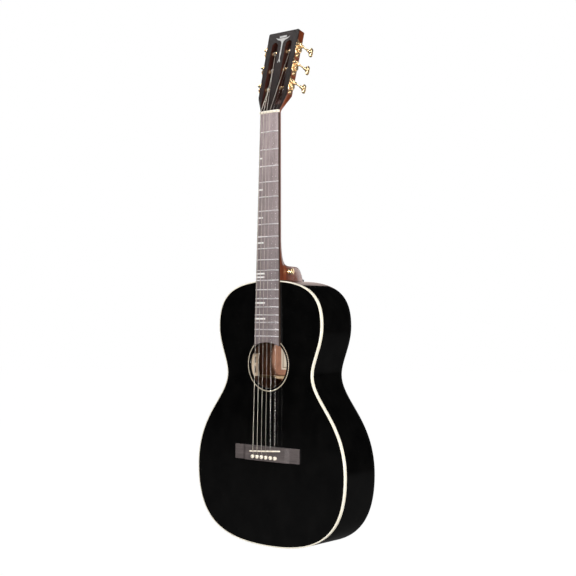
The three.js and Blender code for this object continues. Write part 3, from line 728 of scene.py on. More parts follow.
def soundboard():
    """The plate with its rounded soundhole edge: black in front, and behind a dark wood that is
    painted shade.
    """
    inset = RIM_THICK + PURFLING_WIDTH
    edge = rim(inset)
    centre = np.array([0.0, HOLE_Z])
    spokes = edge - centre
    reach = np.linalg.norm(spokes, axis=1)
    unit = spokes / reach[:, None]
    levels = [0.012, 0.03, *np.linspace(0.07, 1.0, 22)]
    loops, mats = [], []
    hole_edge = 0.65
    hole = [(0.0, 2.3), (0.0, 0.75), (0.08, 0.42), (0.3, 0.14), (hole_edge, 0.0)]
    for out, y in hole:
        loops.append([(x, y, z) for x, z in centre + unit * (HOLE_R + out)])
        mats.append(0)
    for level in levels:
        distance = HOLE_R + hole_edge + (reach - HOLE_R - hole_edge) * level
        flat = centre + unit * distance[:, None]
        lift = top_arch(flat[:, 0], flat[:, 1], level)
        loops.append([(x, y, z) for (x, z), y in zip(flat, lift)])
        mats.append(0)
    mats[-1] = 1
    for level in (1.0, 0.0):
        distance = HOLE_R + (reach - HOLE_R) * level
        loops.append([(x, PLATE_THICK, z) for x, z in centre + unit * distance[:, None]])
        mats.append(1)
    mats[-1] = 0
    faces = grid_faces(len(loops), RIM_STEPS, wrap_rows=True, wrap_columns=True)
    numbers = [mats[i // RIM_STEPS] for i in range(len(faces))]
    shape = Shape().add([p for loop in loops for p in loop], faces, numbers)
    make("top", shape, [BLACK, INSIDE_WOOD_PAINTED_SHADE], "black_lacquer", replaces=["soundboard"], sharp=50)


def back():
    """The arched back: black outside, bare wood inside."""
    edge = rim(RIM_THICK)
    centre = np.array([0.0, BACK_ARCH_Z])
    points = []
    levels = np.linspace(0.04, 1.0, 20)
    for level in levels:
        for x, z in centre + (edge - centre) * level:
            arch = BACK_ARCH * (1.0 - level**2) ** 1.2 * math.exp(-((x / BACK_SPAN_X) ** 2))
            points.append((x, back_y(z) + arch, z))
    for level in levels[::-1]:
        flat = centre + (edge - centre) * level
        points.extend((x, back_y(z) - PLATE_THICK, z) for x, z in flat)
    rows = 2 * len(levels)
    faces = grid_faces(rows, RIM_STEPS, wrap_columns=True)
    mats = [0 if i // RIM_STEPS < len(levels) else 1 for i in range(len(faces))]
    faces.append(list(range(RIM_STEPS))[::-1])
    faces.append([(rows - 1) * RIM_STEPS + j for j in range(RIM_STEPS)])
    shape = Shape().add(points, faces, [*mats, 0, 1])
    make("back", shape, [BLACK, BACK_WOOD], "black_lacquer", replaces=["back_plate"])


def rims():
    rows = [(0, BINDING_DEPTH), (0.5, 0.0), (1, -BINDING_DEPTH)]
    band = [(0.0, share, y) for share, y in rows]
    band += [(RIM_THICK, share, y) for share, y in reversed(rows)]
    # the inner faces of the sides take the dark inside wood, which is painted shade
    shape = hoop(band, [0, 0, 1, 1, 1, 1])
    both = ["side_bass", "side_treble"]
    make("sides", shape, [BLACK, INSIDE_WOOD_PAINTED_SHADE], "black_lacquer", replaces=both)
    rounded = [(RIM_THICK, 0.0), (0.9, 0.0), (0.45, 0.1), (0.14, 0.38), (0.0, 0.85)]
    rounded += [(0.0, BINDING_DEPTH - 0.03), (RIM_THICK, BINDING_DEPTH - 0.03)]
    front = hoop([(inset, 0, y) for inset, y in rounded])
    make("top_edge_binding", front, IVORY, "ivory_binding", replaces=["top_binding"], sharp=60)
    rear = hoop([(inset, 1, -y) for inset, y in rounded])
    make("back_edge_binding", rear, BLACK_EDGE, "black_binding", replaces=["back_binding"])


def purfling():
    """The fine black line inside the top binding."""
    start, end = RIM_THICK, RIM_THICK + PURFLING_WIDTH
    profile = [(start, 0, -0.02), (end, 0, -0.02), (end, 0, 1.4), (start, 0, 1.4)]
    make("top_purfling", hoop(profile), PURFLING_DARK, "ivory_binding")


def soundhole_ring():
    """A ring of herringbone: two rows of slanted blocks between two fine dark lines."""
    line = 0.22
    middle = (RING_INNER + RING_OUTER) / 2
    across = [(RING_INNER, 0.0, -0.02), (RING_INNER + line, 0.0, -0.03), (middle, 1.15, -0.03)]
    across += [(RING_OUTER - line, 0.0, -0.03), (RING_OUTER, 0.0, -0.02)]
    across += [(RING_OUTER, 0.0, 1.2), (RING_INNER, 0.0, 1.2)]
    count = 2 * round(2 * math.pi * middle / BLOCK_LENGTH)
    points = []
    for r, shift, y in across:
        for k in range(count):
            a = 2 * math.pi * (k + shift) / count
            points.append((r * math.sin(a), y, HOLE_Z - r * math.cos(a)))
    faces = grid_faces(len(across), count, wrap_rows=True, wrap_columns=True)
    mats = [i % count % 2 if i // count in (1, 2) else 0 for i in range(len(faces))]
    colours = [PURFLING_MID, PURFLING_LIGHT]
    ring = Shape().add(points, faces, mats)
    make("rosette", ring, colours, "ivory_binding", replaces=["soundhole_ring"])


def label():
    """A blank paper label with one printed border line, glued inside the back."""
    half, low, high = 42.0, 326.5, 384.0

    def sheet(x0, x1, z0, z1, lift, thick):
        return block(x0, x1, 0, thick, z0, z1).moved(
            lambda pts: [(x, back_y(z) - PLATE_THICK - lift - y, z) for x, y, z in pts]
        )

    make("label", sheet(-half, half, low, high, 0.02, 0.16), PAPER, "ivory_binding")
    inner, width = 3.2, 2.2
    x0, x1, z0, z1 = -half + inner, half - inner, low + inner, high - inner
    strips = [(x0, x1, z0, z0 + width), (x0, x1, z1 - width, z1)]
    strips += [(x0, x0 + width, z0, z1), (x1 - width, x1, z0, z1)]
    border = Shape()
    for strip in strips:
        border.join(sheet(*strip, 0.17, 0.05))
    make("label_border", border, INK, "rosewood")


def inside():
    """The glued-in woodwork keeps its CAD shapes and gets spruce, or a dark wood that is painted
    shade, or on the waist brace a pale spruce that is painted light.
    """
    spruce = ["cross_brace", "upper_brace", "tone_bar_upper", "tone_bar_lower"]
    spruce += [f"back_brace_{i}" for i in range(1, 5)]
    painted_shade_parts = ["top_lining", "back_lining", "neck_block", "tail_block", "bridge_plate"]
    # the waist brace gets the paler spruce, which is painted light
    for names, material in ((spruce, SPRUCE), (painted_shade_parts, INSIDE_WOOD_PAINTED_SHADE), (["waist_brace"], SPRUCE_PAINTED_LIGHT)):
        for name in names:
            mesh = frame["nodes"][name].data
            mesh.materials.clear()
            mesh.materials.append(material)


# ------------------------------------------------------------------ bridge


def bridge():
    profile = [(BRIDGE_HALF, 0.0), (BRIDGE_HALF, -BRIDGE_WING)]
    scoop = 11.0
    for k in range(13):
        t = k / 12
        lift = (BRIDGE_CROWN - BRIDGE_WING) * math.sin(math.pi / 2 * t) ** 2
        profile.append((BRIDGE_CROWN_HALF + scoop * (1 - t), -BRIDGE_WING - lift))
    outline = profile + [(-x, y) for x, y in reversed(profile)]
    sections = [[(x, y, z) for x, y in outline] for z in (BRIDGE_LOW, BRIDGE_HIGH)]
    made = make("bridge_body", loft(sections), BRIDGE_ROSEWOOD, "rosewood", replaces=["bridge"])
    bevel(made, 0.7, 3, 30)


def slanted(points):
    c, s = math.cos(SADDLE_SLANT), math.sin(SADDLE_SLANT)
    return [(x * c - z * s, y, SADDLE_Z + x * s + z * c) for x, y, z in points]


def saddle():
    """A bone saddle, rounded along its top, arched like the fretboard."""
    sections = []
    half = SADDLE_THICK / 2
    for x in np.linspace(-SADDLE_HALF, SADDLE_HALF, 48):
        end = 1.0 - max(0.0, (abs(x) - SADDLE_HALF + 1.6) / 1.6) ** 2 * 0.25
        top = SADDLE_TOP + camber(x) + (1 - end) * 5
        section = [(x, -5.0, half * end), (x, top + half, half * end)]
        for a in turned(8)[1:-1]:
            section.append((x, top + half - half * math.sin(a), half * end * math.cos(a)))
        section += [(x, top + half, -half * end), (x, -5.0, -half * end)]
        sections.append(section)
    make("bridge_saddle", loft(sections).moved(slanted), BONE, "bone", replaces=["saddle"])


def bridge_pins():
    face = -BRIDGE_CROWN - 0.3
    profile = [(0.0, 14.0), (1.9, 13.0), (PIN_R, face), (2.9, face), (3.25, face - 0.25)]
    profile += [(3.3, face - 0.9), (2.95, face - 1.25), (3.1, face - 1.5)]
    for a in turned(8, math.pi / 2):
        profile.append((3.7 * math.cos(a - 0.35), face - 2.9 - 2.7 * math.sin(a - 0.35) * 1.05))
    dot = face - 5.35
    profile += [(0.95, dot), (0.9, dot - 0.12), (0.5, dot - 0.2), (0.0, dot - 0.22)]
    mats = [1 if k >= len(profile) - 4 else 0 for k in range(len(profile) - 1)]
    for i, name in enumerate(STRING_NAMES):
        x = (i - 2.5) * PIN_SPACING
        pin = lathe(profile, 32, mats)
        pin.moved(lambda pts, x=x: [(px + x, py, pz + PIN_Z) for px, py, pz in pts])
        make(
            f"pin_{name}", pin, [BONE, PURFLING_MID], "bone", replaces=[f"bridge_pin_{name}"]
        )


# ------------------------------------------------------------------ neck


def neck_back_y(z):
    shaft = mix(NECK_DEPTH_HEEL, NECK_DEPTH_NUT, (z - SHAFT_Z) / (NUT_Z - SHAFT_Z))
    if z < HEEL_TOP:
        drop = (HEEL_TOP - z) / (HEEL_TOP - JOINT_Z)
        return HEEL_SHELF + (HEEL_BACK - HEEL_SHELF) * drop**0.29
    fillet = -6.9 * math.log(min(1.0, (z - HEEL_TOP + 0.3) / 45))
    return neck_top_y(z) + shaft + fillet


def neck_section(f, z):
    shaft = math.sqrt(max(0.0, 1 - f**1.75))
    heel = min(1.0, mix(HEEL_END_HALF / JOINT_HALF, 1.1, (1 - f) ** 0.58))
    if f > 0.93:
        heel *= math.sqrt(max(0.0, 1 - ((f - 0.93) / 0.075) ** 2 * 0.6))
    return mix(heel, shaft, smoothstep(z, HEEL_TOP + 0.7, HEEL_TOP + 37))


def neck_shaft():
    rises = [0.05, 0.2, 0.5, 1, 1.8, 3, 4.5, 6.5, 9, 12, 15, 19, 24, 30, 38, 50]
    stations = [JOINT_Z + 0.05 + (HEEL_TOP - JOINT_Z - 0.1) * k / 14 for k in range(14)]
    stations += [HEEL_TOP - 0.6, HEEL_TOP - 0.25, HEEL_TOP - 0.08]
    stations += [HEEL_TOP + rise for rise in rises]
    stations += list(np.linspace(HEEL_TOP + 70, 822, 14))
    ring = 20
    sections = []
    for z in stations:
        half, top, bottom = board_half(z) - 0.05, neck_top_y(z) - 0.05, neck_back_y(z)
        shares = [math.sin(math.pi / 2 * k / ring) for k in range(ring + 1)]
        right = [(half * neck_section(f, z), mix(top, bottom, f), z) for f in shares]
        left = [(-x, y, z) for x, y, z in reversed(right[:-1])]
        if right[-1][0] > 0.5:
            left.insert(0, (-right[-1][0], right[-1][1], z))
        else:
            right[-1] = (0.02, right[-1][1], z)
            left.insert(0, (-0.02, right[-1][1], z))
        sections.append(right + left)
    return loft(sections)


def head_outline(low):
    cut, clipped = 2.5, 0.75
    right = [(NUT_HALF + 0.2, low), (NUT_HALF + 1, 3), (SHOULDER_HALF - 1.2, SHOULDER_U - 3)]
    right += [(SHOULDER_HALF, SHOULDER_U + 2), (HEAD_TOP_HALF, HEAD_LENGTH - cut)]
    right += [(HEAD_TOP_HALF - clipped, HEAD_LENGTH - clipped), (HEAD_TOP_HALF - cut, HEAD_LENGTH)]
    return right + [(-x, u) for x, u in reversed(right)]


def slot_solid(sign):
    ring = []
    for middle, start in ((SLOT_HIGH - SLOT_R, 0.0), (SLOT_LOW + SLOT_R, math.pi)):
        for a in turned(16):
            x, u = SLOT_R * math.cos(start + a), SLOT_R * math.sin(start + a)
            ring.append((sign * SLOT_MIDDLE + x, middle + u))
    return prism(ring, -5, HEAD_THICK + 5).moved(from_head)


def ramp_solid(sign):
    """The wedge that lets the strings run down into a slot."""
    top = SLOT_LOW + SLOT_R
    wedge = [(-1.0, RAMP_LOW - 1.6), (RAMP_DEEP, top), (-1.0, top)]
    sections = [[(sign * SLOT_MIDDLE + x, b, u) for b, u in wedge] for x in (-SLOT_R, SLOT_R)]
    return loft(sections).moved(from_head)


def bore_solid(i):
    sign = side_of(i)
    reach = head_half(POST_U[STRING_POST[i]]) - POST_INNER + 1
    bore = lathe([(0.0, -reach), (POST_R + 0.6, -reach), (POST_R + 0.6, 5.0), (0.0, 5.0)], 24)
    bore.moved(lambda pts: [(sign * y, x, z) for x, y, z in pts])
    return bore.moved(from_tuner(i))


def shade_slot_walls(obj):
    """Bare wood on the walls and ramps inside the headstock's slots, made much darker than the neck's
    mahogany as painted shade.
    """
    obj.data.materials.append(SLOT_MAHOGANY_PAINTED_SHADE)
    number = len(obj.data.materials) - 1
    c, s = math.cos(HEAD_TILT), math.sin(HEAD_TILT)
    for face in obj.data.polygons:
        x, y, z = (face.center.x / MM, (face.center.y - FACE_Y) / MM, (face.center.z - TAIL_Z) / MM)
        b, u = y * c - (z - HEAD_Z) * s, y * s + (z - HEAD_Z) * c
        backward = face.normal.y * c - face.normal.z * s
        within = SLOT_INNER - 0.2 < abs(x) < SLOT_OUTER + 0.2 and RAMP_LOW - 3 < u < SLOT_HIGH + 0.3
        if within and -0.98 < backward < 0.1 and -0.5 < b < HEAD_THICK:
            face.material_index = number


def cut_head(obj):
    for sign in (-1, 1):
        boolean(obj, mesh_object("slot_tool", slot_solid(sign)))
        boolean(obj, mesh_object("ramp_tool", ramp_solid(sign)))


def foot_tool():
    """Space the blade may fill: round behind at its foot, square from the shoulders up."""
    sections = []
    for u, half, power, depth in (
        (-6, NUT_HALF + 1.2, 1.0, HEAD_THICK), (4, NUT_HALF + 2.4, 0.92, HEAD_THICK),
        (18, SHOULDER_HALF - 3.0, 0.6, HEAD_THICK + 0.2),
        (28, SHOULDER_HALF + 0.8, 0.3, HEAD_THICK + 0.4),
        (38, SHOULDER_HALF + 4.0, 0.12, HEAD_THICK + 0.6),
        (HEAD_LENGTH + 6, HEAD_TOP_HALF + 6.0, 0.12, HEAD_THICK + 0.6),
    ):
        ring = []
        for a in turned(32):
            x = math.copysign(abs(math.cos(a)) ** power, math.cos(a)) * half
            ring.append((x, depth * max(math.sin(a), 0.0) ** power, u))
        sections.append(ring + [(-half, -3.0, u), (half, -3.0, u)])
    return loft(sections).moved(from_head)


def neck():
    """The mahogany neck: shaft and heel, with the slotted headstock carved from the same wood."""
    blade_shape = prism(head_outline(-4), VENEER, HEAD_THICK)
    body = make("neck_wood", neck_shaft(), MAHOGANY, "mahogany", replaces=["neck"])
    blade = mesh_object("blade_tool", blade_shape.moved(from_head))
    bevel(blade, 1.3, 4, 30)
    apply_modifiers(blade)
    boolean(blade, mesh_object("foot_tool", foot_tool()), "INTERSECT")
    boolean(body, blade, "UNION")
    seat = block(-40, 40, -20, neck_top_y(NUT_Z) - 0.02, NUT_Z - 20, NUT_Z + NUT_THICK)
    boolean(body, mesh_object("seat_tool", seat))
    cut_head(body)
    for i in range(6):
        boolean(body, mesh_object("bore_tool", bore_solid(i)))
    shade_slot_walls(body)
    shade(body, 32)


def head_veneer():
    low = (NUT_THICK + NUT_Z - HEAD_Z) / math.cos(HEAD_TILT) + 0.35
    face = prism(head_outline(low), 0.0, VENEER - 0.02).moved(from_head)
    made = make("head_face", face, HEAD_ROSEWOOD, "rosewood", replaces=["head_veneer"])
    cut_head(made)
    shade_slot_walls(made)
    shade(made, 32)
    bevel(made, 0.35, 2, 50)


def fretboard():
    """The cambered fingerboard, its end curved round the soundhole."""
    columns, rows = 25, 70
    top, bottom = [], []
    for k in range(rows):
        for share in np.linspace(-1, 1, columns):
            end = mix(BOARD_MIDDLE_Z, BOARD_CORNER_Z, share**2)
            z = mix(end, NUT_Z, k / (rows - 1))
            x = share * board_half(z)
            under = 0.0 if z < JOINT_Z else neck_top_y(z) - 0.05
            top.append((x, board_y(z) + camber(x), z))
            bottom.append((x, under, z))
    total = rows * columns
    faces = grid_faces(rows, columns)
    faces += [[total + v for v in reversed(face)] for face in grid_faces(rows, columns)]
    edge = list(range(columns))
    edge += [k * columns + columns - 1 for k in range(1, rows)]
    edge += [(rows - 1) * columns + j for j in range(columns - 2, -1, -1)]
    edge += [k * columns for k in range(rows - 2, 0, -1)]
    played = len(faces) // 2
    for a, b in zip(edge, edge[1:] + edge[:1]):
        faces.append([a, b, total + b, total + a])
    mats = [0 if i < played else 1 for i in range(len(faces))]
    shape = Shape().add(top + bottom, faces, mats)
    woods = [ROSEWOOD, DARK_ROSEWOOD]
    made = make("fingerboard", shape, woods, "rosewood", replaces=["fretboard"])
    bevel(made, 0.5, 3, 50)


def frets():
    """Nineteen frets with rounded crowns and dressed ends."""
    shape = Shape()
    for fret in range(1, FRETS + 1):
        z = fret_z(fret)
        half = board_half(z) - 0.15
        sections = []
        for x in np.linspace(-half, half, 21):
            end = max(0.0, (abs(x) - half + 1.1) / 1.1)
            tall = 1.1 * (1 - 0.85 * end**2)
            base = board_y(z) + camber(x)
            section = []
            for a in turned(8):
                y = base + 0.3 - (tall + 0.3) * math.sin(a) ** 0.8
                section.append((x, y, z + 1.15 * math.cos(a)))
            sections.append(section)
        shape.join(loft(sections))
    make("frets", shape, NICKEL, "plain_string", sharp=60)


MARKERS = {3: 8.0, 5: 11.5, 7: 14.0, 9: 17.0, 12: 22.0, 15: 24.5, 17: 26.3}


def position_markers():
    """Pearl bars let into the bass side, longer towards the body, and dots along the edge."""
    bars, dots = Shape(), Shape()
    for fret, length in MARKERS.items():
        middle = (fret_z(fret) + fret_z(fret - 1)) / 2
        offsets = (-3.3, 3.3) if fret == 12 else (0.0,)
        for offset in offsets:
            z = middle + offset
            left = -board_half(z) + 0.5
            sections = []
            for x in np.linspace(left, left + length, 8):
                y = board_y(z) + camber(x)
                ring = [(y + 0.8, -1.5), (y - 0.04, -1.5), (y - 0.04, 1.5), (y + 0.8, 1.5)]
                sections.append([(x, yy, z + dz) for yy, dz in ring])
            bars.join(loft(sections))
            dot = lathe([(0.0, 0.0), (0.9, 0.0), (0.9, 0.4), (0.75, 0.52), (0.0, 0.55)], 16)
            y = board_y(z) + 2.7
            edge = -board_half(z) + 0.45
            dot.moved(lambda pts, e=edge, y=y, z=z: [(e - b, y + a, z + c) for a, b, c in pts])
            dots.join(dot)
    make("position_markers", bars, PEARL, "ivory_binding")
    make("side_dots", dots, IVORY, "ivory_binding")


def nut():
    """A bone nut with a rolled top and a groove for each string."""
    grooves = [((i - 2.5) * NUT_SPACING, r + 0.06) for i, r in enumerate(STRING_R)]
    sections = []
    for x in np.linspace(-NUT_HALF, NUT_HALF, 260):
        dip = 0.0
        for middle, r in grooves:
            if abs(x - middle) < r:
                dip = max(dip, math.sqrt(r**2 - (x - middle) ** 2) + 0.12)
        top = NUT_TOP + camber(x) - 0.45 + dip
        end = max(0.0, (abs(x) - NUT_HALF + 0.7) / 0.7) ** 2 * 0.5
        z0, z1 = NUT_Z + 0.02, NUT_Z + NUT_THICK
        low = neck_top_y(NUT_Z) - 0.05
        profile = [(low, z0), (top + end, z0), (top + end, z1 - 2.0), (top + end + 0.35, z1 - 0.8)]
        profile += [(top + end + 1.0, z1 - 0.1), (low, z1)]
        sections.append([(x, y, z) for y, z in profile])
    make("string_nut", loft(sections), BONE, "bone", replaces=["nut"], sharp=50)


def heel_cap():
    half = HEEL_END_HALF + 0.7
    outline = [(half, JOINT_Z + 0.1)]
    outline += [(half * math.cos(a), JOINT_Z + 2.4 + 3 * math.sin(a)) for a in turned(20)]
    outline.append((-half, JOINT_Z + 0.1))
    shape = prism(outline, HEEL_BACK - 1.0, HEEL_BACK + 2.1)
    bevel(make("heel_end_cap", shape, BLACK_EDGE, "black_binding", replaces=["heel_cap"]), 0.4)


def head_motif():
    """Pearl inlay that keeps the outline of the pictured mark: a bar over wings and a forked stem."""
    wing = [(5.5, 151.4), (11.5, 151.6), (18.0, 154.0), (12.0, 149.0), (6.0, 147.0)]
    stem = [(3.0, 144.4), (1.6, 140.5), (1.3, 124.5), (2.1, 120.0), (1.1, 114.0), (1.0, 107.5)]
    foot = [(3.6, 101.2), (2.7, 100.3), (0.0, 104.4)]
    half = wing + stem + foot
    bar = [(-8.6, 152.5), (8.6, 152.5), (8.6, 156.4), (-8.6, 156.4)]
    shape = Shape()
    for ring in (half + [(-x, u) for x, u in reversed(half[:-1])], bar):
        shape.join(prism(ring, -0.05, 0.6).moved(from_head))
    make("head_motif", shape, MOTIF_PEARL, "ivory_binding")


# ------------------------------------------------------------------ hardware


def button_profile(head_r, neck_r, out, stem):
    """A waisted strap button: (radius, y) from the end of its stem out to its face at -out."""
    wide, waist = neck_r + 0.6, head_r * 0.84
    profile = [(0.0, stem), (wide, stem), (wide, 0.0), (waist, 0.0), (waist, -0.35)]
    profile += [(head_r * 0.62, -out * 0.16), (neck_r * 1.04, -out * 0.34), (neck_r, -out * 0.48)]
    profile += [(neck_r * 1.15, -out * 0.62), (head_r * 0.72, -out * 0.74)]
    profile += [(head_r * 0.97, -out * 0.8), (head_r, -out * 0.86), (head_r * 0.97, -out * 0.93)]
    return profile + [(head_r * 0.86, -out * 0.985), (head_r * 0.5, -out), (0.0, -out)]


def screw_head(r, out):
    """A small domed head, standing on y = 0 and pointing to -y."""
    profile = [(0.0, 0.6), (r, 0.6), (r, -0.1), (r * 0.94, -out * 0.55), (r * 0.6, -out * 0.9)]
    profile += [(0.0, -out)]
    return lathe(profile, 24)


def heel_button():
    low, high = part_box("heel_button")
    middle = (low + high) / 2
    c, s = math.cos(BUTTON_TURN), math.sin(BUTTON_TURN)
    x0 = middle.x / MM - BUTTON_OUT / 2 * s
    y0 = (middle.y - FACE_Y) / MM + BUTTON_OUT / 2 * c
    z0 = (middle.z - TAIL_Z) / MM

    def convert(points):
        return [(x0 + x * c - y * s, y0 + x * s + y * c, z0 + z) for x, y, z in points]

    shape = lathe(button_profile(BUTTON_HEAD_R, BUTTON_NECK_R, BUTTON_OUT, BUTTON_STEM), 48)
    shape.join(screw_head(2.4, 1.0).moved(lambda pts: [(x, y - BUTTON_OUT, z) for x, y, z in pts]))
    make_gold("heel_strap_button", shape.moved(convert), replaces=["heel_button"])


def end_pin():
    low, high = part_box("end_pin")
    y0 = ((low + high) / 2).y / MM - FACE_Y / MM
    shape = lathe(button_profile(7.2, 4.6, 4.0, 6.0), 48)
    shape.moved(lambda pts: [(x, y0 - z, y - 0.25) for x, y, z in pts])
    make_gold("tail_pin", shape, replaces=["end_pin"])


def gear_shape(sign):
    flank = [(-0.30, 5.15), (-0.17, 5.75), (-0.085, 6.2), (-0.05, 6.28)]
    flank += [(-share, r) for share, r in reversed(flank)]
    ring = []
    for i in range(GEAR_TEETH):
        for share, r in flank:
            a = (i + 0.5 + share) * 2 * math.pi / GEAR_TEETH
            ring.append((r * math.sin(a), r * math.cos(a)))
    half = GEAR_THICK / 2
    levels = [(-half, 0.93), (-half + 0.3, 1.0), (half - 0.3, 1.0), (half, 0.93)]
    return loft([[(sign * GEAR_OUT + x, b * k, u * k) for b, u in ring] for x, k in levels])


def post_piece(i, name):
    """String post, gear and gear screw, turning together."""
    sign = side_of(i)
    convert = from_tuner(i)
    inner = head_half(POST_U[STRING_POST[i]]) - POST_INNER
    face = GEAR_OUT + GEAR_THICK / 2
    profile = [(0.0, -inner), (2.6, -inner), (POST_R, -inner + 0.6), (POST_R, -28.0)]
    profile += [(POST_R - 0.25, -27.4), (POST_R - 0.25, -12.6), (POST_R, -12.0), (POST_R, face)]
    profile += [(2.9, face + 0.25), (2.9, face + 0.9), (2.7, face + 1.15), (0.0, face + 1.3)]
    rod = lathe(profile, 36).moved(lambda pts: [(sign * y, x, z) for x, y, z in pts])
    shape = gear_shape(sign).join(rod).moved(convert)
    body, taken = f"post_{name}", [f"tuner_post_{name}"]
    make_gold(f"post_and_gear_{name}", shape, body=body, replaces=taken)
    # A thin black bar on the gear screw's face stands in for its slot: it is painted shade, and no
    # slot is cut.
    slot_shade_bar = block(-0.3, 0.3, -2.3, 2.3, -0.2, 0.2).moved(
        lambda pts: [(sign * (face + 1.22) + x * 0.3, y, z * 1.4) for x, y, z in pts]
    )
    slot_shade_bar.moved(convert)
    make(f"gear_screw_slot_painted_shade_{name}", slot_shade_bar, PURFLING_DARK, "gold_hardware", body=body)


def string_start(i):
    """Where string i meets its post, along the post's own axis."""
    return STRING_POST_X[i] - side_of(i) * head_half(POST_U[STRING_POST[i]])


def string_look(i):
    return (WOUND_WIRE, "wound_string") if i < 4 else (PLAIN_WIRE, "plain_string")


def winding_piece(i, name):
    """The string's turns round its post."""
    sign, r, turns = side_of(i), STRING_R[i], WINDING_TURNS[i]
    start = string_start(i)
    radius = POST_R + r - 0.2
    pitch = 2.12 * r
    points = []
    steps = int(turns * 28)
    for k in range(steps + 1):
        a = 2 * math.pi * turns * k / steps
        wander = 0.12 * r * math.sin(2.3 * a)
        x = start + sign * pitch * a / (2 * math.pi)
        points.append((x, -(radius + wander) * math.cos(a), (radius + wander) * math.sin(a)))
    last, tuck = start + sign * pitch * turns, radius * 0.55
    points.append((last + sign * r, -tuck * math.cos(a), tuck * math.sin(a)))
    shape = tube(points, r, 8).moved(from_tuner(i))
    make(f"winding_{name}", shape, *string_look(i), body=f"post_{name}", sharp=80)


def worm_shape():
    lead = 2 * math.pi * GEAR_PITCH_R / GEAR_TEETH
    sections = []
    steps, sides = 72, 32
    for k in range(steps + 1):
        y = WORM_LENGTH * (k / steps - 0.5)
        fade = min(1.0, (WORM_LENGTH / 2 - abs(y)) / 0.5)
        section = []
        for j in range(sides):
            a = 2 * math.pi * j / sides
            wave = math.cos(2 * math.pi * y / lead - a + math.pi)
            ridge = 0.5 * math.copysign(abs(wave) ** 0.75, wave)
            r = WORM_PITCH_R + ridge * fade - 0.5 * (1 - fade)
            section.append((r * math.sin(a), y, r * math.cos(a)))
        sections.append(section)
    return loft(sections)


def bean_shape():
    """A butterfly bean: full at both lobes, pinched where the shaft enters."""
    rows, columns = 33, 40
    points = []
    for k in range(rows):
        v = math.pi * k / (rows - 1)
        for j in range(columns):
            a = 2 * math.pi * j / columns
            dx, dy, dz = math.sin(v) * math.cos(a), math.sin(v) * math.sin(a), math.cos(v)
            lobe = 1.0 - 0.20 * math.exp(-((dz / 0.38) ** 2))
            x = 3.1 * math.copysign(abs(dx) ** 0.85, dx) * (0.82 + 0.18 * abs(dz) ** 0.5)
            y = 5.7 * math.copysign(abs(dy) ** 0.85, dy) * lobe
            z = 9.3 * math.copysign(abs(dz) ** 0.9, dz)
            points.append((x, y + KNOB_AT, z))
    return Shape().add(points, grid_faces(rows, columns, wrap_columns=True))


def knob_piece(i, name):
    """Worm, shaft, collars and button, turning together."""
    profile = [(0.0, -7.6), (1.2, -7.6), (1.6, -7.2), (1.6, 20.5), (2.1, 21.2), (2.9, 21.8)]
    profile += [(3.0, 22.6), (2.6, 23.2), (2.0, 23.8), (1.9, 24.6), (2.3, 25.4), (3.3, 26.6)]
    profile += [(3.5, 27.6), (3.3, 29.2), (0.0, 30.0)]
    tip_at = KNOB_AT + 4.55
    tip = screw_head(1.5, 0.6).moved(lambda pts: [(x, tip_at - y, z) for x, y, z in pts])
    shape = lathe(profile, 32).join(worm_shape()).join(bean_shape()).join(tip)
    out = side_of(i) * GEAR_OUT
    shape.moved(lambda pts: [(x + out, y, z + WORM_RISE) for x, y, z in pts])
    shape.moved(from_tuner(i))
    body, taken = f"knob_{name}", [f"tuner_knob_{name}"]
    make_gold(f"knob_and_worm_{name}", shape, body=body, replaces=taken, sharp=50)


def plate_shape(sign, top):
    """The side plate's flat body, forked at its upper end, with its outer edge rounded over."""
    right = [(1.6, -15.4), (3.2, -14.8), (4.3, -13.2), (4.6, -11.5), (4.4, -9.6), (5.0, -8.1)]
    right += [(6.4, -6.9), (7.3, -5.4), (7.5, -3.5), (7.5, 10.4), (7.1, 11.7), (5.6, 12.7)]
    right += [(4.7, 13.8), (4.9, 15.2), (5.8, 16.8), (6.8, 18.5), (6.3, 18.8), (4.6, 18.0)]
    right += [(2.4, 16.4), (0.8, 15.2)]
    ring = right + [(-b, u) for b, u in reversed(right)]
    middle_u = 1.5
    sections = []
    for x, shrink in [(0.02, 0.0), (top - 0.35, 0.0), (top - 0.1, 0.12), (top, 0.38)]:
        section = []
        for b, u in ring:
            k = 1 - shrink / math.hypot(b, u - middle_u)
            section.append((sign * x, b * k, middle_u + (u - middle_u) * k))
        sections.append(section)
    return loft(sections)


def lug_shape(sign, b):
    """One bearing lug: an arch over the worm's shaft on a flared foot."""
    arch = [(2.0, WORM_RISE + 3.2), (0.6, WORM_RISE + 3.8)]
    arch += [(GEAR_OUT + 2.9 * math.sin(a), 3.1 * math.cos(a) + WORM_RISE) for a in turned(16)]
    outline = arch + [(2.0, WORM_RISE - 3.2), (0.6, WORM_RISE - 3.8)]
    thick, middle_x, foot_x = 0.95, 2.4, 0.7
    sections = []
    for db, k in [(-thick, 0.9), (-thick + 0.3, 1.0), (thick - 0.3, 1.0), (thick, 0.9)]:
        section = []
        for x, u in outline:
            kx = middle_x + (x - middle_x) * k if x > foot_x else x
            section.append((sign * kx, b + db, WORM_RISE + (u - WORM_RISE) * k))
        sections.append(section)
    return loft(sections)


def plate_piece(i, name):
    """Side plate with a forked top, two bearing lugs and its screws."""
    sign, convert, top = side_of(i), from_tuner(i), 1.05
    plate = plate_shape(sign, top).moved(convert)
    make_gold(f"side_plate_{name}", plate, replaces=[f"tuner_plate_{name}"], sharp=25)
    lugs = lug_shape(sign, -6.4).join(lug_shape(sign, 6.4))
    make_gold(f"worm_lugs_{name}", lugs.moved(convert), sharp=45)
    screws = Shape()
    for u, r in ((-11.6, 1.75), (12.6, 1.5)):
        head = screw_head(r, 1.0)
        screws.add([(sign * (top - y), x, z + u) for x, y, z in head.points], head.faces)
    make_gold(f"plate_screws_{name}", screws.moved(convert))


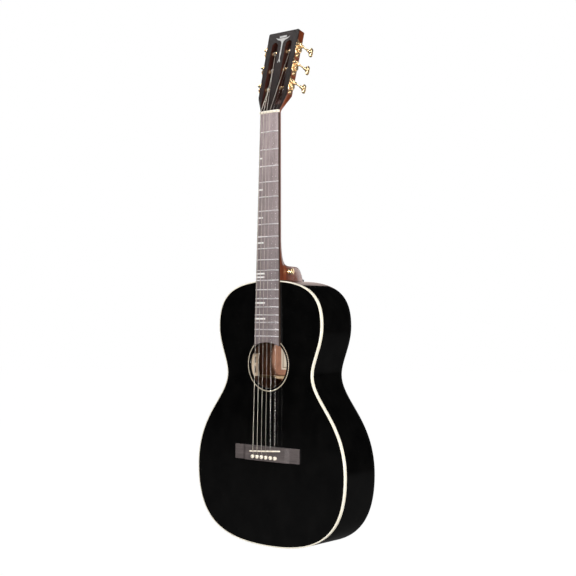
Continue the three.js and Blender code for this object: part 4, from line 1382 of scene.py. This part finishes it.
def machine_heads():
    for i, name in enumerate(STRING_NAMES):
        plate_piece(i, name)
        post_piece(i, name)
        winding_piece(i, name)
        knob_piece(i, name)


# ------------------------------------------------------------------ strings


def corner(points, a, b, c, radius):
    """Replace the bend at b by a short curve."""
    a, b, c = (np.array(p, float) for p in (a, b, c))
    first = b + (a - b) / np.linalg.norm(a - b) * radius
    last = b + (c - b) / np.linalg.norm(c - b) * radius
    for t in np.arange(6) / 5:
        points.append((1 - t) ** 2 * first + 2 * t * (1 - t) * b + t * t * last)


def strings():
    for i, name in enumerate(STRING_NAMES):
        r = STRING_R[i]
        nut_x, saddle_x, pin_x = (
            (i - 2.5) * spacing for spacing in (NUT_SPACING, SADDLE_SPACING, PIN_SPACING)
        )
        post = from_tuner(i)([(string_start(i), -(POST_R + r - 0.2), 0.0)])[0]
        nut_y = NUT_TOP + camber(nut_x) - r - 0.1
        saddle_y = SADDLE_TOP + camber(saddle_x) - r + 0.02
        saddle_z = SADDLE_Z + saddle_x * math.tan(SADDLE_SLANT)
        drop_z = PIN_Z + 4.8 - r - 0.2
        route = [post, (nut_x, nut_y, NUT_Z + NUT_THICK - 1.8), (nut_x, nut_y, NUT_Z + 0.3)]
        route.append((saddle_x, saddle_y, saddle_z))
        route += [(pin_x, -BRIDGE_CROWN - r - 0.4, drop_z + 0.7), (pin_x, 8.0, drop_z)]
        points = [np.array(route[0], float)]
        for a, b, c in zip(route, route[1:], route[2:]):
            corner(points, a, b, c, 0.7)
        points.append(np.array(route[-1], float))
        wire = tube(points, r, 12)
        make(f"wire_{name}", wire, *string_look(i), replaces=[f"string_{name}"], sharp=80)


# ------------------------------------------------------------------ stage, light and camera


FLOOR_GLOW, GLOW_SHARE = 1.09, 0.92


def floor_material():
    """Pale to the eye but dark to reflections, so that the lacquer stays black."""
    material, tree, shader = new_material("floor")
    fix(shader, Base_Color=(0.03, 0.03, 0.03, 1), Roughness=0.9)
    glow = node(tree, "ShaderNodeEmission", Color=(1, 1, 1, 1), Strength=FLOOR_GLOW)
    rays = node(tree, "ShaderNodeLightPath").outputs["Is Camera Ray"]
    mixed = tree.nodes.new("ShaderNodeMixShader")
    factor = node(tree, "ShaderNodeMath", {"operation": "MULTIPLY"})
    tree.links.new(rays, factor.inputs[0])
    factor.inputs[1].default_value = GLOW_SHARE
    tree.links.new(factor.outputs[0], mixed.inputs[0])
    tree.links.new(shader.outputs[0], mixed.inputs[1])
    tree.links.new(glow.outputs[0], mixed.inputs[2])
    tree.links.new(mixed.outputs[0], tree.nodes["Material Output"].inputs["Surface"])
    return material


def stage():
    under = (0, 0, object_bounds()[0].z - 0.06)
    bpy.ops.mesh.primitive_circle_add(vertices=96, radius=9.0, fill_type="NGON", location=under)
    floor = bpy.context.object
    floor.name = "floor"
    floor.data.materials.append(floor_material())
    floor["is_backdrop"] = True


def world():
    made = bpy.data.worlds.new("studio")
    bpy.context.scene.world = made
    made.use_nodes = True
    tree = made.node_tree
    background = tree.nodes["Background"]
    rays = node(tree, "ShaderNodeLightPath").outputs["Is Camera Ray"]
    colour = blend_colour(tree, rays, (0.006, 0.006, 0.006), (1.0, 1.0, 1.0))
    tree.links.new(colour, background.inputs["Color"])


def direction(azimuth, elevation):
    """A unit vector away from the guitar. Azimuth 0 is in front, 90 on the treble side."""
    a, e = math.radians(azimuth), math.radians(elevation)
    return Vector((math.sin(a) * math.cos(e), -math.cos(a) * math.cos(e), math.sin(e)))


LIGHT_DISTANCE = 2.6


def softbox(name, azimuth, elevation, width, height, power, aim_z=0.45, tint=(1, 1, 1)):
    """An area light that looks at the guitar."""
    away = direction(azimuth, elevation)
    light = bpy.data.lights.new(name, "AREA")
    light.shape = "ELLIPSE"
    light.color = tint
    light.size, light.size_y = width, height
    light.energy = power
    obj = bpy.data.objects.new(name, light)
    bpy.context.scene.collection.objects.link(obj)
    obj.location = Vector((0, 0.03, TAIL_Z + aim_z)) + away * LIGHT_DISTANCE
    obj.rotation_mode = "QUATERNION"
    obj.rotation_quaternion = away.to_track_quat("Z", "Y")
    obj.visible_camera = False


def lights():
    softbox("front_key", 12.5, -5.5, 0.26, 0.26, 50, 0.34)
    softbox("right_fill", 60.5, 4, 0.3, 1.5, 60)
    softbox("side_rim", 106, 18, 0.6, 1.4, 25)
    softbox("left_high", -78, 48, 1.2, 0.7, 44, 0.7)
    softbox("overhead", 60, 82, 1.0, 1.0, 20)
    softbox("rear", 180, 8, 1.2, 1.6, 9)
    softbox("rear_left", -140, 12, 1.2, 1.2, 2.4, tint=(1.0, 0.82, 0.76))


CAMERA = {"azimuth": 39.9, "pitch": -1.57, "roll": -0.28, "distance": 2139.0, "lens": 72.05}
CAMERA_AIM = (47.6, 0.0, 483.0)


def camera():
    away = direction(CAMERA["azimuth"], CAMERA["pitch"])
    a, r = math.radians(CAMERA["azimuth"]), math.radians(CAMERA["roll"])
    right = Vector((math.cos(a), math.sin(a), 0))
    up = away.cross(right)
    rolled_right = right * math.cos(r) - up * math.sin(r)
    rolled_up = right * math.sin(r) + up * math.cos(r)
    data = bpy.data.cameras.new("camera")
    data.sensor_width = 36.0
    data.lens = CAMERA["lens"]
    data.clip_end = 50.0
    obj = bpy.data.objects.new("camera", data)
    bpy.context.scene.collection.objects.link(obj)
    basis = Matrix([rolled_right, rolled_up, away]).transposed().to_4x4()
    aim = Vector(place([CAMERA_AIM])[0])
    basis.translation = aim + away * CAMERA["distance"] * MM
    obj.matrix_world = basis
    bpy.context.scene.camera = obj


# ------------------------------------------------------------------ the guitar

camera()
soundboard()
back()
rims()
purfling()
soundhole_ring()
label()
inside()
bridge()
saddle()
bridge_pins()
neck()
head_veneer()
head_motif()
fretboard()
frets()
position_markers()
nut()
heel_cap()
heel_button()
end_pin()
machine_heads()
strings()
stage()
world()
lights()
bpy.context.scene.view_settings.view_transform = "Standard"
